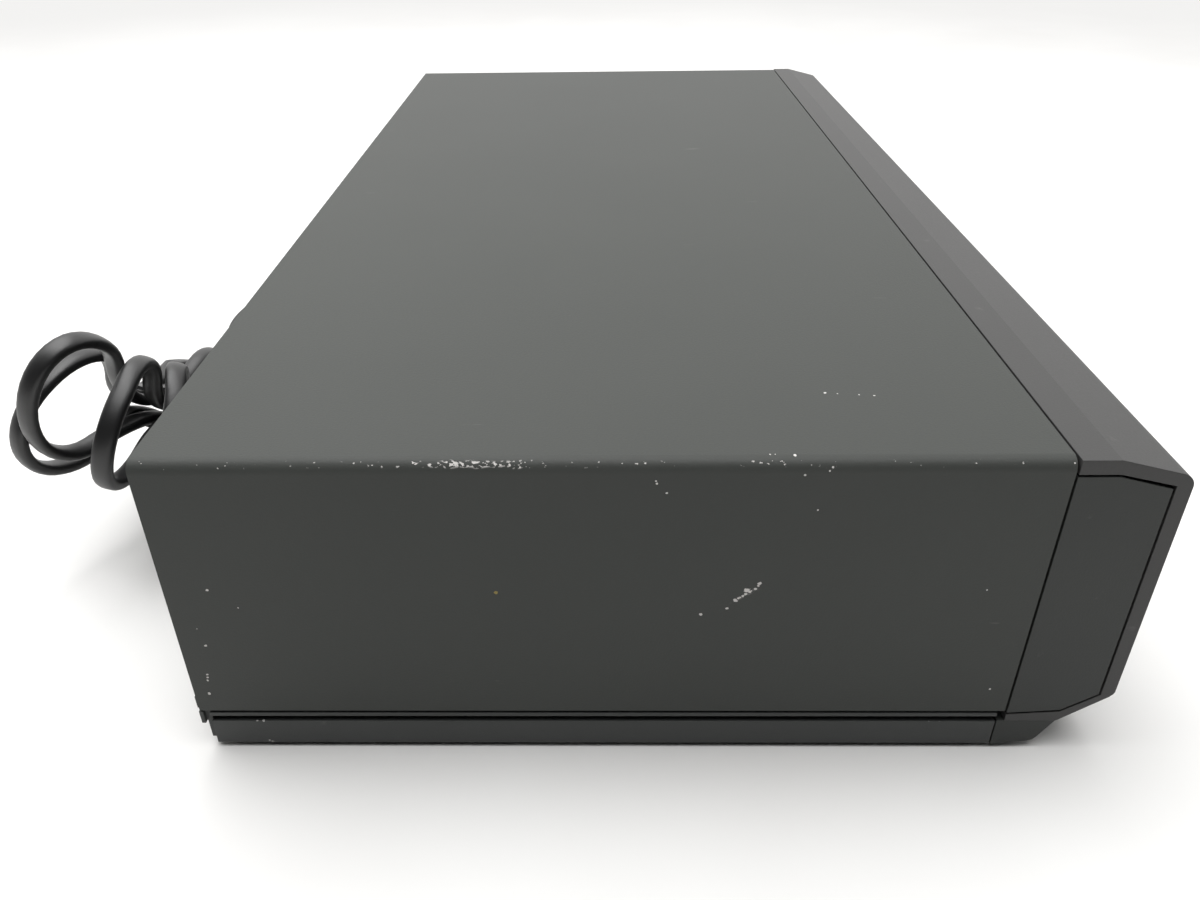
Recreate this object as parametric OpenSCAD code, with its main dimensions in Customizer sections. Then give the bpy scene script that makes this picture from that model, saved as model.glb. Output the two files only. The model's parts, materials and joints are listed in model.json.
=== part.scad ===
// Full-width front-loading VHS video cassette recorder, lid on, with its mains lead tied in a hank.
// X runs to the right seen from the front, the front faces -Y, and the feet stand on Z = 0.
// Inside each module, lengths along Y are counted from the seam between cover and front panel.

/* [Case] */
// Width over the cover's sides
case_w = 430; // [420:1:440]
// Height from the feet's soles to the top
case_h = 88; // [84:0.5:96]
// Depth of the steel cover, from the front seam to its rear edge
cover_d = 204.5; // [200:0.5:240]
// Sheet thickness of the cover
cover_t = 0.8; // [0.6:0.1:1]
// Outside bend radius of the cover
cover_r = 3; // [2:0.5:5]
// Height of the cover's lower edge above the floor
cover_low = 13.2; // [12.8:0.1:13.8]
// Height of the rubber feet
foot_h = 1.6; // [1.2:0.1:3]
// Radius of a foot
foot_r = 9; // [7:0.5:11]
// Width of the dark seam between cover and front panel
seam_gap = 0.6; // [0.5:0.1:1.4]

/* [Front panel] */
// How far the front face stands ahead of the seam
panel_d = 25.8; // [25:0.1:32]
// Thickness of the outer front shell
shell_t = 3.3; // [2.6:0.1:3.6]
// Width of the parting groove round the side cheeks
groove_w = 0.6; // [0.4:0.1:0.8]
// Thickness of a side cheek
cheek_t = 2; // [1.6:0.1:3]
// Gap round each button and the cassette door
front_gap = 0.5; // [0.4:0.05:0.7]

/* [Cassette lift] */
// Width of a cassette
cassette_w = 188; // [187:0.5:189]
// Thickness of a cassette
cassette_h = 25; // [24.5:0.5:25.5]
// How far the holder travels into the deck
travel_in = 60; // [50:1:62]
// How far the holder then sinks
travel_down = 22; // [18:0.5:22]
// Sheet thickness of the holder
holder_t = 0.8; // [0.6:0.1:1]
// Thickness of the slider and frame plates
plate_t = 1.2; // [1:0.1:1.3]
// Radius of the holder's and sliders' pins
pin_r = 1.5; // [1.2:0.1:1.8]
// Module of the lift's rack and pinions
gear_module = 0.8; // [0.7:0.05:0.8]
// Teeth on a lift pinion
pinion_teeth = 12; // [10:1:12]
// Radius of the shaft that joins the two pinions
sync_r = 1.5; // [1.2:0.1:2]

/* [Tape transport] */
// Diameter of the head drum
drum_dia = 62; // [60:0.5:62]
// Lean of the drum's axis in degrees
drum_tilt = 6; // [4:0.5:7]
// Distance of each reel from the middle
reel_x = 46.3; // [45:0.1:47]
// Radius of a reel table
reel_r = 21; // [18:0.5:22]
// Radius of the capstan
capstan_r = 2; // [1.5:0.1:2.5]
// Radius of the capstan's flywheel
flywheel_r = 27; // [22:1:30]
// Radius of the pinch roller
pinch_r = 7; // [6:0.5:8]
// Radial clearance of a running shaft
fit = 0.05; // [0.03:0.01:0.08]

/* [Mains lead] */
// Width of the flat lead
cord_w = 6.2; // [6:0.1:6.6]
// Thickness of the flat lead
cord_t = 3.8; // [3.4:0.1:4]
// Number of whole loops in the hank
hank_loops = 3; // [2:1:3]
// Bend radius at the ends of the hank's loops
hank_bend = 18.6; // [18:0.2:19]
// Distance between neighbouring loops at the hank's waist
hank_pitch = 7; // [6.9:0.1:7.2]
// Degrees by which the loops' ends are fanned out, on the side away from the lead
hank_fan = 52; // [44:1:52]

/* [Hidden] */
$fn = 48;

// Rear end of the aerial sockets, the rearmost thing on the object
socket_proud = 7.4;
rear_end = cover_d + socket_proud;
// The seam's place along Y, with the origin under the middle of the whole
seam_y = (panel_d - rear_end) / 2;
half_w = case_w / 2;

// Heights from the floor up
plate_z = foot_h + 0.2;
tray_z = plate_z + 1;
tray_t = 2.2;
board_z = tray_z + tray_t + 2;
board_t = 1.6;
deck_z = 20;
deck_t = 1.2;

// Lengths along Y, from the seam
tray_front = 1.7;
panel_s = cover_d - 0.9;
panel_t = 1.4;
front_face = -panel_d;
shell_in = front_face + shell_t;

// Tray rails and the posts that carry the deck
rail_x = 108;
rail_w = 24;
post_s = [14, cover_d - 26.5];
deck_end = cover_d - 18.5;
post_r = 4;

// Cassette slot, door and holder
slot_half = cassette_w / 2 + 1;
slot_low = case_h - 37.5;
slot_high = slot_low + cassette_h + 5.7;
door_half = slot_half - front_gap;
door_t = 2.2;
door_s = front_face + 0.2;
door_low = slot_low + 0.7;
door_high = slot_high - 0.4;
hinge_s = door_s + 4.6;
hinge_z = door_high - 1.2;
hinge_r = 1.2;
holder_in = cassette_w / 2 + 1.2;
holder_out = holder_in + holder_t;
holder_floor = slot_low + 0.3;
holder_top = holder_floor + cassette_h + 1;
holder_s = [-8, 58];
slider_x = holder_out + 2.6;
frame_x = slider_x + plate_t + 2.8;
slider_s = [-11.5, 60];
slider_pins = [14, 34];
holder_pins = [4, 44];
rail_z = slot_low + 18;
holder_pin_z = slot_low + 11.5;
pitch_r = gear_module * pinion_teeth / 2;
rack_z = slot_low + 25.7;
sync_s = 53;
sync_z = rack_z + pitch_r;
frame_s = [-11.5, 60 + travel_in + 2];
frame_top = sync_z - 1.4;

// Tape transport places, [x, s]
drum_s = cover_d - 50.5;
drum_c = [0, drum_s];
drum_z = 26;
drum_r = drum_dia / 2;
drum_split = 18;
reel_s = 52;
reel_z = deck_z + 2.8;
disc_h = 3.2;
capstan_c = [62, drum_s - 32];
bearing_r = 5.9;
centre_c = [0, 22];
idler_len = 30;
idler_r = 9;
drive_r = idler_len - idler_r - 0.3;
pulley_r = 7;
belt_t = 1.2;
belt_z = 15.2;
pinch_pivot = [92, drum_s - 14];
pinch_rest = [66.2, drum_s - 15.3];
tension_pivot = [-85, drum_s - 36];
tension_post = [-62, drum_s - 50];
guide_home = [28, drum_s - 50];
guide_end = [45, drum_s + 4];
erase_c = [-58, drum_s - 10];
audio_c = [56, drum_s - 5];
guide_posts = [[-70, drum_s - 26], [50, drum_s - 22]];

// Front controls: [name, x, z, width, height], in three rows
row_step = (slot_low - 11.5) / 3;
low_row = 14 + row_step;
middle_row = low_row + row_step;
high_row = slot_low + 15.5;
buttons = [["power_button", 35 - half_w, high_row, 24, 9], ["eject_button", half_w - 85, high_row, 24, 9],
    ["rewind_button", half_w - 94, middle_row, 20, 9], ["play_button", half_w - 67, middle_row, 28, 9],
    ["fast_forward_button", half_w - 40, middle_row, 20, 9], ["stop_button", half_w - 83, low_row, 28, 9],
    ["pause_button", half_w - 51, low_row, 28, 9], ["record_button", half_w - 23, low_row, 14, 9]];
rocker = [half_w - 33, high_row, 28, 9];
rocker_s = shell_in + 1.5;
window = [0, slot_low - 16.5, 124, 20];
button_travel = 1;
front_board_s = -14;

// Sockets on the rear: [x, z]
aerial_c = [[half_w - 47, 24], [half_w - 27, 24]];
scart_c = [[40, 24], [104, 24]];
phono_c = [[-20, 24], [-38, 24]];
lead_c = [6, 34];
screw_x = [-150, 0, 150];

module behind_seam() { translate([0, seam_y, 0]) children(); }

// A bar between two corners, given as ranges of x, s and z
module bar(x, s, z) {
    translate([x[0], s[0], z[0]]) cube([x[1] - x[0], s[1] - s[0], z[1] - z[0]]);
}

module both_sides() {
    children();
    mirror([1, 0, 0]) children();
}

// Extrudes a shape drawn in s and z across the width
module across(x) {
    translate([x[0], 0, 0]) rotate([90, 0, 90]) linear_extrude(x[1] - x[0]) children();
}

// Extrudes a shape drawn in x and z from front to rear
module along(s) {
    translate([0, s[1], 0]) rotate([90, 0, 0]) linear_extrude(s[1] - s[0]) children();
}

module post(c, z, r) { translate([c[0], c[1], z[0]]) cylinder(h = z[1] - z[0], r = r); }

module rod_x(x, s, z, r) { translate([x[0], s, z]) rotate([0, 90, 0]) cylinder(h = x[1] - x[0], r = r); }

module rod_s(s, x, z, r) { translate([x, s[0], z]) rotate([-90, 0, 0]) cylinder(h = s[1] - s[0], r = r); }

// A slot with round ends between two points
module slot2d(a, b, r) {
    way = atan2(b[1] - a[1], b[0] - a[0]);
    steps = 12;
    polygon([for (end = [0, 1], k = [0 : steps]) let (t = way - 90 + 180 * (end + k / steps))
        (end == 0 ? b : a) + r * [cos(t), sin(t)]]);
}

module round_rect2d(size, r) {
    for (x = [-1, 1], y = [-1, 1]) translate([x * (size[0] / 2 - r), y * (size[1] / 2 - r)]) circle(r);
    square([size[0], size[1] - 2 * r], center = true);
    square([size[0] - 2 * r, size[1]], center = true);
}

// Tray, base plate and feet

module chassis_frame() {
    color([0.14, 0.14, 0.15]) behind_seam() {
        difference() {
            union() {
                both_sides() along([tray_front, panel_s - panel_t - 0.1]) rail_section();
                for (x = [-rail_x, rail_x])
                    bar([x - rail_w / 2, x + rail_w / 2], [tray_front, panel_s - panel_t - 0.1],
                        [tray_z, tray_z + tray_t]);
                for (s = [[tray_front, 9], [panel_s - 10, panel_s - panel_t - 0.1]])
                    bar([-half_w + 4, half_w - 4], s, [tray_z, tray_z + tray_t]);
                bar([-half_w + 4, half_w - 4], [tray_front, tray_front + 1.6], [tray_z, 13]);
                for (x = [-rail_x, rail_x], s = post_s) post([x, s], [tray_z, deck_z - deck_t], post_r);
                for (c = board_bosses()) post(c, [tray_z + tray_t - 0.5, board_z], 2.8);
            }
            for (x = [-rail_x, rail_x], s = post_s) post([x, s], [10, deck_z], 1.4);
            both_sides() for (s = [30 : 16 : 190])
                bar([half_w - 12, half_w - 5], [s - 5, s + 5], [tray_z - 1, tray_z + tray_t + 1]);
        }
    }
}

function board_bosses() = [for (x = [-rail_x - 8.5, -half_w + 11, -rail_x + 8.5, half_w - 11],
    s = [22, panel_s - 23.6]) [x, s]];

// Skirt, dark slot and upright wall that the cover slides over, at the right side
module rail_section() {
    wall = half_w - cover_t - 0.1;
    polygon([[half_w, foot_h], [half_w, 9.5], [half_w - 2, 9.5], [half_w - 2, 11.3], [half_w, 11.3],
        [half_w, cover_low - 0.8], [wall, cover_low - 0.8], [wall, 20], [wall - 2, 20],
        [wall - 2, tray_z + tray_t], [half_w - 15, tray_z + tray_t], [half_w - 15, tray_z],
        [half_w - 1.8, tray_z], [half_w - 1.8, foot_h]]);
}

module bottom_plate() {
    color([0.55, 0.56, 0.56]) behind_seam() difference() {
        bar([-half_w + 2, half_w - 2], [tray_front + 0.3, panel_s - panel_t], [plate_z, tray_z]);
        for (x = [-150 : 30 : 150], k = [0 : 5])
            bar([x - 1.5, x + 1.5], [60 + k * 18, 72 + k * 18], [plate_z - 1, tray_z + 1]);
        for (c = foot_places()) post(c, [plate_z - 1, tray_z + 1], 2.6);
    }
}

function foot_places() = [for (x = [-half_w + 16, half_w - 16], s = [16, cover_d - 14]) [x, s]];

module feet() {
    color([0.1, 0.1, 0.1]) behind_seam() for (c = foot_places()) {
        post(c, [0, plate_z], foot_r);
        post(c, [plate_z, tray_z], 2.5);
    }
}

// Steel cover

module arch2d(half, low, high, r) {
    translate([-half, low]) square([2 * half, high - r - low]);
    translate([-half + r, high - r]) square([2 * (half - r), r]);
    for (x = [-half + r, half - r]) translate([x, high - r]) circle(r);
}

module top_cover() {
    flange = 9;
    color([0.36, 0.37, 0.35]) behind_seam() {
        along([0, cover_d]) difference() {
            arch2d(half_w, cover_low, case_h, cover_r);
            arch2d(half_w - cover_t, cover_low - 1, case_h - cover_t, cover_r - cover_t);
        }
        difference() {
            bar([-half_w + cover_r, half_w - cover_r], [cover_d - cover_t, cover_d],
                [case_h - flange, case_h - cover_t]);
            for (x = screw_x) rod_s([cover_d - 3, cover_d + 1], x, case_h - 5.5, 1.7);
        }
    }
}

// Three screws through the cover's rear edge, and four that hold the deck on its posts
module screws() {
    color([0.3, 0.3, 0.3]) behind_seam() {
        for (x = screw_x) {
            difference() {
                rod_s([cover_d, cover_d + 1.8], x, case_h - 5.5, 3.2);
                for (a = [0, 90]) translate([x, cover_d + 1.4, case_h - 5.5]) rotate([0, a, 0])
                    cube([4, 1.2, 0.8], center = true);
            }
            rod_s([cover_d - 8, cover_d], x, case_h - 5.5, 1.5);
        }
        for (x = [-rail_x, rail_x], s = post_s) {
            post([x, s], [deck_z, deck_z + 1.8], 3);
            post([x, s], [11, deck_z], 1.35);
        }
    }
}

module rear_panel() {
    color([0.13, 0.13, 0.14]) behind_seam() difference() {
        union() {
            along([panel_s - panel_t, panel_s]) difference() {
                translate([-half_w + 1, tray_z]) square([2 * half_w - 2, case_h - cover_t - 0.2 - tray_z]);
                for (c = scart_c) translate(c) scart_outline(0.4);
                for (c = phono_c) translate(c) circle(5.2);
                for (c = aerial_c) translate(c) circle(6.2);
                translate(lead_c) circle(5.2);
                for (x = [-195 : 6 : -135]) translate([x, 62]) slot2d([0, -10], [0, 10], 1.2);
                for (x = screw_x) translate([x, case_h - 5.5]) circle(1.6);
            }
            both_sides() bar([half_w - 1.6, half_w], [panel_s + 0.2, panel_s + 1.2], [8.7, 12.8]);
            both_sides() bar([half_w - 3, half_w - 1], [panel_s - panel_t, panel_s + 0.6], [8.7, 12.8]);
            both_sides() bar([half_w - 1.8, half_w - cover_t - 0.1], [panel_s - 1, cover_d + 0.8],
                [13.3, 17.1]);
        }
    }
}

// Front panel: an outer shell over a carrier whose cheeks show inside a groove

// Outer outline of the front shell, with its rounded nose and chin
module shell_outer2d() {
    nose = 3.5;
    chin = 2;
    nose_c = [front_face + nose, case_h - 3.5 - nose * 0.98];
    polygon([[-seam_gap, case_h], [-9, case_h], [nose_c[0] - 0.75, nose_c[1] + 3.42],
        [front_face, nose_c[1]], [front_face, 19.8], [front_face + 1, 18.2], [-13.9, 10.1],
        [-13.3, 9.8], [-seam_gap, 9.8]]);
    translate(nose_c) circle(nose);
    translate([front_face + chin, 20.1]) circle(chin);
}

// Inner line of the shell; grow is how far a shape inside it stays away
module shell_inner2d(gap) {
    polygon([[1, case_h - shell_t - 0.3 - gap], [-9.7, case_h - shell_t - 0.3 - gap],
        [shell_in + 0.2 + gap, 81.4 - gap * 1.2], [shell_in + gap, 18.8 + gap * 0.6],
        [-13.8 + gap * 0.3, 13 + gap], [1, 11.9 + gap]]);
}

module front_fascia() {
    color([0.3, 0.3, 0.29]) behind_seam() difference() {
        union() {
            across([-half_w, half_w]) difference() {
                shell_outer2d();
                shell_inner2d(0);
            }
            both_sides() bar([slot_half + 0.3, slot_half + 3.3], [shell_in - 0.5, hinge_s + 2],
                [hinge_z - 2, slot_high + 1]);
            for (z = [-1, 1]) bar([rocker[0] - 2.5, rocker[0] + 2.5], [shell_in - 0.5, rocker_s + 2],
                [rocker[1] + z * 7.2 - 1.2, rocker[1] + z * 7.2 + 1.2]);
        }
        along([front_face - 1, shell_in + 0.8]) {
            translate([-slot_half, slot_low]) square([2 * slot_half, slot_high - slot_low]);
            translate([window[0], window[1]]) round_rect2d([window[2], window[3]], 2);
            for (b = buttons) translate([b[1], b[2]])
                round_rect2d([b[3] + 2 * front_gap, b[4] + 2 * front_gap], 2);
            translate([rocker[0], rocker[1]])
                round_rect2d([rocker[2] + 2 * front_gap, rocker[3] + 2 * front_gap], 2);
        }
        both_sides() rod_x([slot_half, slot_half + 4], hinge_s, hinge_z, hinge_r + fit);
        post([rocker[0], rocker_s], [rocker[1] - 9, rocker[1] + 9], 1 + fit);
    }
}

module front_carrier() {
    back = -seam_gap;
    color([0.2, 0.2, 0.2]) behind_seam() {
        both_sides() across([half_w - cheek_t, half_w]) intersection() {
            shell_inner2d(groove_w);
            translate([-40, 0]) square([40 - seam_gap, 100]);
        }
        along([back - 1.5, back]) difference() {
            translate([-half_w + 1, 13.6]) square([2 * half_w - 2, 69.8]);
            translate([-rail_x + 1, 19.5]) square([2 * rail_x - 2, 61.5]);
        }
        for (x = [-150, 150]) {
            rod_s([front_board_s + board_t, back], x, 30, 3);
            bar([x - 5, x + 5], [back, tray_front], [12.3, 18]);
            bar([x - 5, x + 5], [back - 1.5, back], [83, case_h - shell_t - 0.3]);
        }
        both_sides() rod_s([front_board_s + board_t, back], half_w - 14, 76, 3);
    }
}

module front_skirt() {
    color([0.2, 0.2, 0.2]) behind_seam() {
        across([-half_w, half_w]) difference() {
            skirt2d();
            translate([2.4, -1.5]) intersection() {
                skirt2d();
                translate([-20, 0]) square([18, 20]);
            }
        }
        both_sides() across([half_w - 2, half_w]) skirt2d();
        for (x = [-140 : 70 : 140]) bar([x - 2, x + 2], [-7, tray_front], [3.6, 8.6]);
    }
}

module skirt2d() {
    polygon([[-13.3, 9.8], [-10, 4], [-9.1, 2.9], [-7.8, 2.4], [1.3, 1.2], [1.3, 9.8]]);
}

module display_window() {
    color([0.05, 0.05, 0.06]) behind_seam() {
        along([front_face + 0.3, shell_in + 0.2]) translate([window[0], window[1]])
            round_rect2d([window[2] - 0.2, window[3] - 0.2], 1.9);
        along([shell_in + 0.2, shell_in + 1.4]) translate([window[0], window[1]])
            round_rect2d([window[2] + 5, window[3] + 5], 2);
    }
}

module display_tube() {
    color([0.2, 0.3, 0.3]) behind_seam() {
        bar([-52, 52], [front_board_s - 5.6, front_board_s - 0.6], [window[1] - 8, window[1] + 8]);
        for (x = [-48 : 8 : 48]) bar([x - 0.3, x + 0.3], [front_board_s - 2, front_board_s],
            [window[1] - 10, window[1] - 7.5]);
    }
}

module front_board() {
    color([0.1, 0.3, 0.18]) behind_seam() {
        along([front_board_s, front_board_s + board_t]) {
            translate([-half_w + 8, 20]) square([2 * half_w - 16, slot_low - 23]);
            for (x = [-half_w + 8, slot_half + 11]) translate([x, middle_row])
                square([half_w - slot_half - 19, case_h - 8 - middle_row]);
        }
        for (b = buttons) bar([b[1] - 3, b[1] + 3], [front_board_s - 2, front_board_s],
            [b[2] - 3, b[2] + 3]);
        for (x = [-8, 8]) bar([rocker[0] + x - 2.5, rocker[0] + x + 2.5],
            [front_board_s - 2, front_board_s], [rocker[1] - 3, rocker[1] + 3]);
    }
}

// A push button: cap, retaining flange behind the shell and a stem towards its switch
module button(b) {
    color([0.24, 0.24, 0.24]) behind_seam() {
        along([front_face + 0.2, shell_in + 0.3]) translate([b[1], b[2]])
            round_rect2d([b[3], b[4]], 1.6);
        along([shell_in + 0.3, shell_in + 1.3]) translate([b[1], b[2]])
            round_rect2d([b[3] + 2.4, b[4] + 2.4], 2);
        rod_s([shell_in + 1.3, front_board_s - 2 - button_travel - 0.3], b[1], b[2], 2);
    }
}

function button_of(name) = [for (b = buttons) if (b[0] == name) b][0];

module power_button() { button(button_of("power_button")); }
module eject_button() { button(button_of("eject_button")); }
module rewind_button() { button(button_of("rewind_button")); }
module play_button() { button(button_of("play_button")); }
module fast_forward_button() { button(button_of("fast_forward_button")); }
module stop_button() { button(button_of("stop_button")); }
module pause_button() { button(button_of("pause_button")); }
module record_button() { button(button_of("record_button")); }

// Channel rocker, which tips about a vertical line through its middle
module channel_rocker() {
    color([0.24, 0.24, 0.24]) behind_seam() translate([rocker[0], 0, rocker[1]]) {
        along([front_face + 0.2, shell_in + 1.1]) difference() {
            round_rect2d([rocker[2], rocker[3]], 1.6);
            square([0.6, 4], center = true);
        }
        along([shell_in + 1, shell_in + 2]) square([rocker[2] + 1, rocker[3] + 2], center = true);
        for (x = [-8, 8]) rod_s([shell_in + 2, front_board_s - 3.4], x, 0, 1.6);
        post([0, rocker_s], [-rocker[3] / 2 - 3, rocker[3] / 2 + 3], 1);
    }
}

// Cassette door, hinged along its top edge and pushed inwards by the cassette
module cassette_door() {
    color([0.28, 0.28, 0.27]) behind_seam() {
        along([door_s, door_s + door_t]) translate([-door_half, door_low])
            square([2 * door_half, door_high - door_low]);
        for (x = [-60, 0, 60]) bar([x - 0.6, x + 0.6], [door_s + door_t, door_s + door_t + 1.6],
            [door_low + 2, door_high - 6]);
        both_sides() {
            rod_x([door_half - 4, door_half - 1], hinge_s, hinge_z, 1.6);
            bar([door_half - 4, door_half - 1], [door_s + door_t - 0.2, hinge_s],
                [hinge_z - 1.4, hinge_z + 1]);
            rod_x([door_half - 1, slot_half + 2.9], hinge_s, hinge_z, hinge_r);
        }
    }
}

// Deck: the plate, and what is staked to it

deck_edge = rail_x + 4.8;

module deck_chassis() {
    color([0.62, 0.62, 0.6]) behind_seam() difference() {
        bar([-deck_edge, deck_edge], [4, deck_end], [deck_z - deck_t, deck_z]);
        for (m = [-1, 1]) translate([0, 0, deck_z - 3]) linear_extrude(6)
            slot2d([m * guide_home[0], guide_home[1]], [m * guide_end[0], guide_end[1]], 2.6);
        post(centre_c, [deck_z - 3, deck_z + 4], sync_r + fit);
        post(capstan_c, [deck_z - 3, deck_z + 3], bearing_r + 0.1);
        for (x = [-rail_x, rail_x], s = post_s) post([x, s], [deck_z - 3, deck_z + 1], 1.7);
        for (x = [-70, 78]) translate([x, 168, deck_z - 3]) linear_extrude(6)
            round_rect2d([36, 20], 4);
    }
}

// Stiffening rails, reel and arm posts, the centre pulley's bush and two fixed tape guides
module deck_posts() {
    color([0.62, 0.62, 0.6]) behind_seam() {
        both_sides() bar([deck_edge - 1.2, deck_edge], [4, deck_end], [deck_z, deck_z + 5]);
        for (x = [-reel_x, reel_x]) {
            post([x, reel_s], [deck_z, reel_z - 0.4], 4);
            post([x, reel_s], [deck_z, deck_z + 12], 1.5);
        }
        difference() {
            post(centre_c, [deck_z, deck_z + 3.2], 3.5);
            post(centre_c, [deck_z - 1, deck_z + 4], sync_r + fit);
        }
        post(pinch_pivot, [deck_z, deck_z + 9], 2);
        post(tension_pivot, [deck_z, deck_z + 6], 1.5);
        for (c = guide_posts) {
            post(c, [deck_z, deck_z + 26], 1.5);
            post(c, [deck_z + 5, deck_z + 23], 3);
        }
    }
}

// Puts what is drawn upright onto the leaning axis of the drum
module on_drum_axis() {
    translate([drum_c[0], drum_c[1], drum_z]) rotate([-drum_tilt, 0, 0]) children();
}

module drum_base() {
    color([0.6, 0.6, 0.58]) behind_seam() difference() {
        union() {
            post(drum_c, [deck_z, deck_z + 12], drum_r - 5);
            for (a = [30, 150, 270]) translate([drum_c[0], drum_c[1], deck_z]) rotate(a)
                translate([0, -6, 0]) cube([drum_r - 1, 12, 3]);
        }
        on_drum_axis() cylinder(h = 40, r = 60);
        post(drum_c, [deck_z - 1, deck_z + 20], 8);
    }
}

module lower_drum() {
    color([0.75, 0.75, 0.76]) behind_seam() on_drum_axis() difference() {
        cylinder(h = drum_split, r = drum_r);
        translate([0, 0, drum_split - 9]) difference() {
            cylinder(h = 10, r = drum_r - 4);
            cylinder(h = 10, r = 8);
        }
        translate([0, 0, -1]) cylinder(h = 40, r = 2.5 + fit);
        translate([0, 0, 4]) rotate([0, -2.6, 0]) difference() {
            cylinder(h = 20, r = drum_r + 3);
            translate([0, 0, -1]) cylinder(h = 22, r = drum_r - 0.12);
        }
    }
}

module upper_drum() {
    color([0.82, 0.82, 0.84]) behind_seam() on_drum_axis() {
        translate([0, 0, drum_split + 0.5]) difference() {
            cylinder(h = 16, r = drum_r);
            translate([0, 0, 12]) difference() {
                cylinder(h = 6, r = drum_r - 3);
                cylinder(h = 6, r = 11);
            }
            for (a = [0 : 60 : 300]) rotate(a) translate([19, 0, -1]) cylinder(h = 20, r = 2.5);
        }
        cylinder(h = drum_split + 22, r = 2.5);
        for (a = [0, 180]) rotate(a) translate([drum_r - 3, -1.4, drum_split + 0.3])
            cube([3.02, 2.8, 1.6]);
    }
}

module capstan_bearing() {
    color([0.6, 0.5, 0.3]) behind_seam() difference() {
        union() {
            post(capstan_c, [deck_z - deck_t, deck_z + 3.6], bearing_r);
            post(capstan_c, [deck_z, deck_z + 2], bearing_r + 4);
        }
        post(capstan_c, [0, 60], capstan_r + fit);
    }
}

// Capstan shaft with its flywheel and belt pulley under the deck
module capstan() {
    color([0.7, 0.7, 0.72]) behind_seam() {
        post(capstan_c, [9.4, deck_z + 28], capstan_r);
        post(capstan_c, [9.4, 14.4], flywheel_r);
        pulley(capstan_c);
    }
}

module pulley(c) {
    post(c, [14.3, belt_z], pulley_r + 2);
    post(c, [belt_z, belt_z + 2.2], pulley_r);
    post(c, [belt_z + 2.2, belt_z + 2.8], pulley_r + 2);
}

module drive_belt() {
    color([0.08, 0.08, 0.08]) behind_seam() translate([0, 0, belt_z + 0.4]) linear_extrude(1.4)
        difference() {
            slot2d(centre_c, capstan_c, pulley_r + belt_t);
            slot2d(centre_c, capstan_c, pulley_r + 0.1);
        }
}

// Belt pulley under the deck, with the disc above it that drives the idler
module centre_pulley() {
    color([0.85, 0.85, 0.8]) behind_seam() {
        pulley(centre_c);
        post(centre_c, [14.3, deck_z + 6], sync_r);
        difference() {
            post(centre_c, [deck_z + 3.6, deck_z + 6], drive_r);
            for (a = [0 : 72 : 288]) translate([centre_c[0], centre_c[1], 0]) rotate(a)
                post([12, 0], [deck_z + 3, deck_z + 7], 3.4);
        }
    }
}

module idler_arm() {
    tip = centre_c + [0, idler_len];
    color([0.7, 0.7, 0.68]) behind_seam() {
        translate([0, 0, deck_z + 0.4]) linear_extrude(1.6) difference() {
            union() {
                slot2d(centre_c, tip, 3);
                translate(centre_c) circle(6);
                translate(tip) circle(4.5);
            }
            translate(centre_c) circle(3.5 + fit);
        }
        post(tip, [deck_z + 1.9, deck_z + 6.4], 1.5);
    }
}

module idler_wheel() {
    tip = centre_c + [0, idler_len];
    color([0.15, 0.15, 0.15]) behind_seam() difference() {
        union() {
            post(tip, [reel_z, reel_z + disc_h], idler_r - 1.2);
            translate([tip[0], tip[1], reel_z + disc_h / 2]) rotate_extrude() translate([idler_r - 1.2, 0])
                circle(1.2, $fn = 24);
        }
        post(tip, [deck_z, 40], 1.5 + fit);
    }
}

module reel(x) {
    color([0.9, 0.9, 0.86]) behind_seam() difference() {
        union() {
            post([x, reel_s], [reel_z, reel_z + disc_h], reel_r);
            post([x, reel_s], [reel_z, reel_z + 9], 8);
            post([x, reel_s], [reel_z, reel_z + 15], 4);
            for (a = [0, 120, 240]) translate([x, reel_s, 0]) rotate(a)
                bar([3, 7], [-1, 1], [reel_z + 1, reel_z + 14]);
        }
        post([x, reel_s], [deck_z, deck_z + 12.2], 1.5 + fit);
        translate([x, reel_s, reel_z + disc_h - 1]) difference() {
            cylinder(h = 3, r = reel_r - 2);
            cylinder(h = 3, r = 11);
        }
        for (a = [0 : 45 : 315]) translate([x, reel_s, 0]) rotate(a)
            post([15, 0], [reel_z - 1, reel_z + 5], 2.6);
    }
}

module supply_reel() { reel(-reel_x); }
module take_up_reel() { reel(reel_x); }

module tension_arm() {
    z = deck_z + 1.2;
    color([0.7, 0.7, 0.68]) behind_seam() {
        translate([0, 0, z]) linear_extrude(1.6) difference() {
            union() {
                slot2d(tension_pivot, tension_post, 2.6);
                translate(tension_pivot) circle(4.2);
            }
            translate(tension_pivot) circle(1.5 + fit);
        }
        post(tension_post, [z + 1, deck_z + 25], 1.5);
        post(tension_post, [deck_z + 23.5, deck_z + 25], 2.6);
    }
}

module pinch_arm() {
    z = deck_z + 4;
    color([0.68, 0.68, 0.66]) behind_seam() {
        translate([0, 0, z]) linear_extrude(2) difference() {
            union() {
                slot2d(pinch_pivot, pinch_rest, 3.4);
                translate(pinch_pivot) circle(5.6);
            }
            translate(pinch_pivot) circle(2 + fit);
        }
        difference() {
            post(pinch_pivot, [deck_z + 0.6, deck_z + 8.4], 4.4);
            post(pinch_pivot, [deck_z, deck_z + 10], 2 + fit);
        }
        post(pinch_rest, [z + 1, deck_z + 27], 1.5);
        post(pinch_rest, [deck_z + 26, deck_z + 27.5], 3);
    }
}

module pinch_roller() {
    color([0.1, 0.1, 0.1]) behind_seam() difference() {
        post(pinch_rest, [deck_z + 7, deck_z + 25.5], pinch_r);
        post(pinch_rest, [deck_z, deck_z + 40], 1.5 + fit);
        post(pinch_rest, [deck_z + 24.5, deck_z + 26], pinch_r - 2.2);
    }
}

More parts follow.
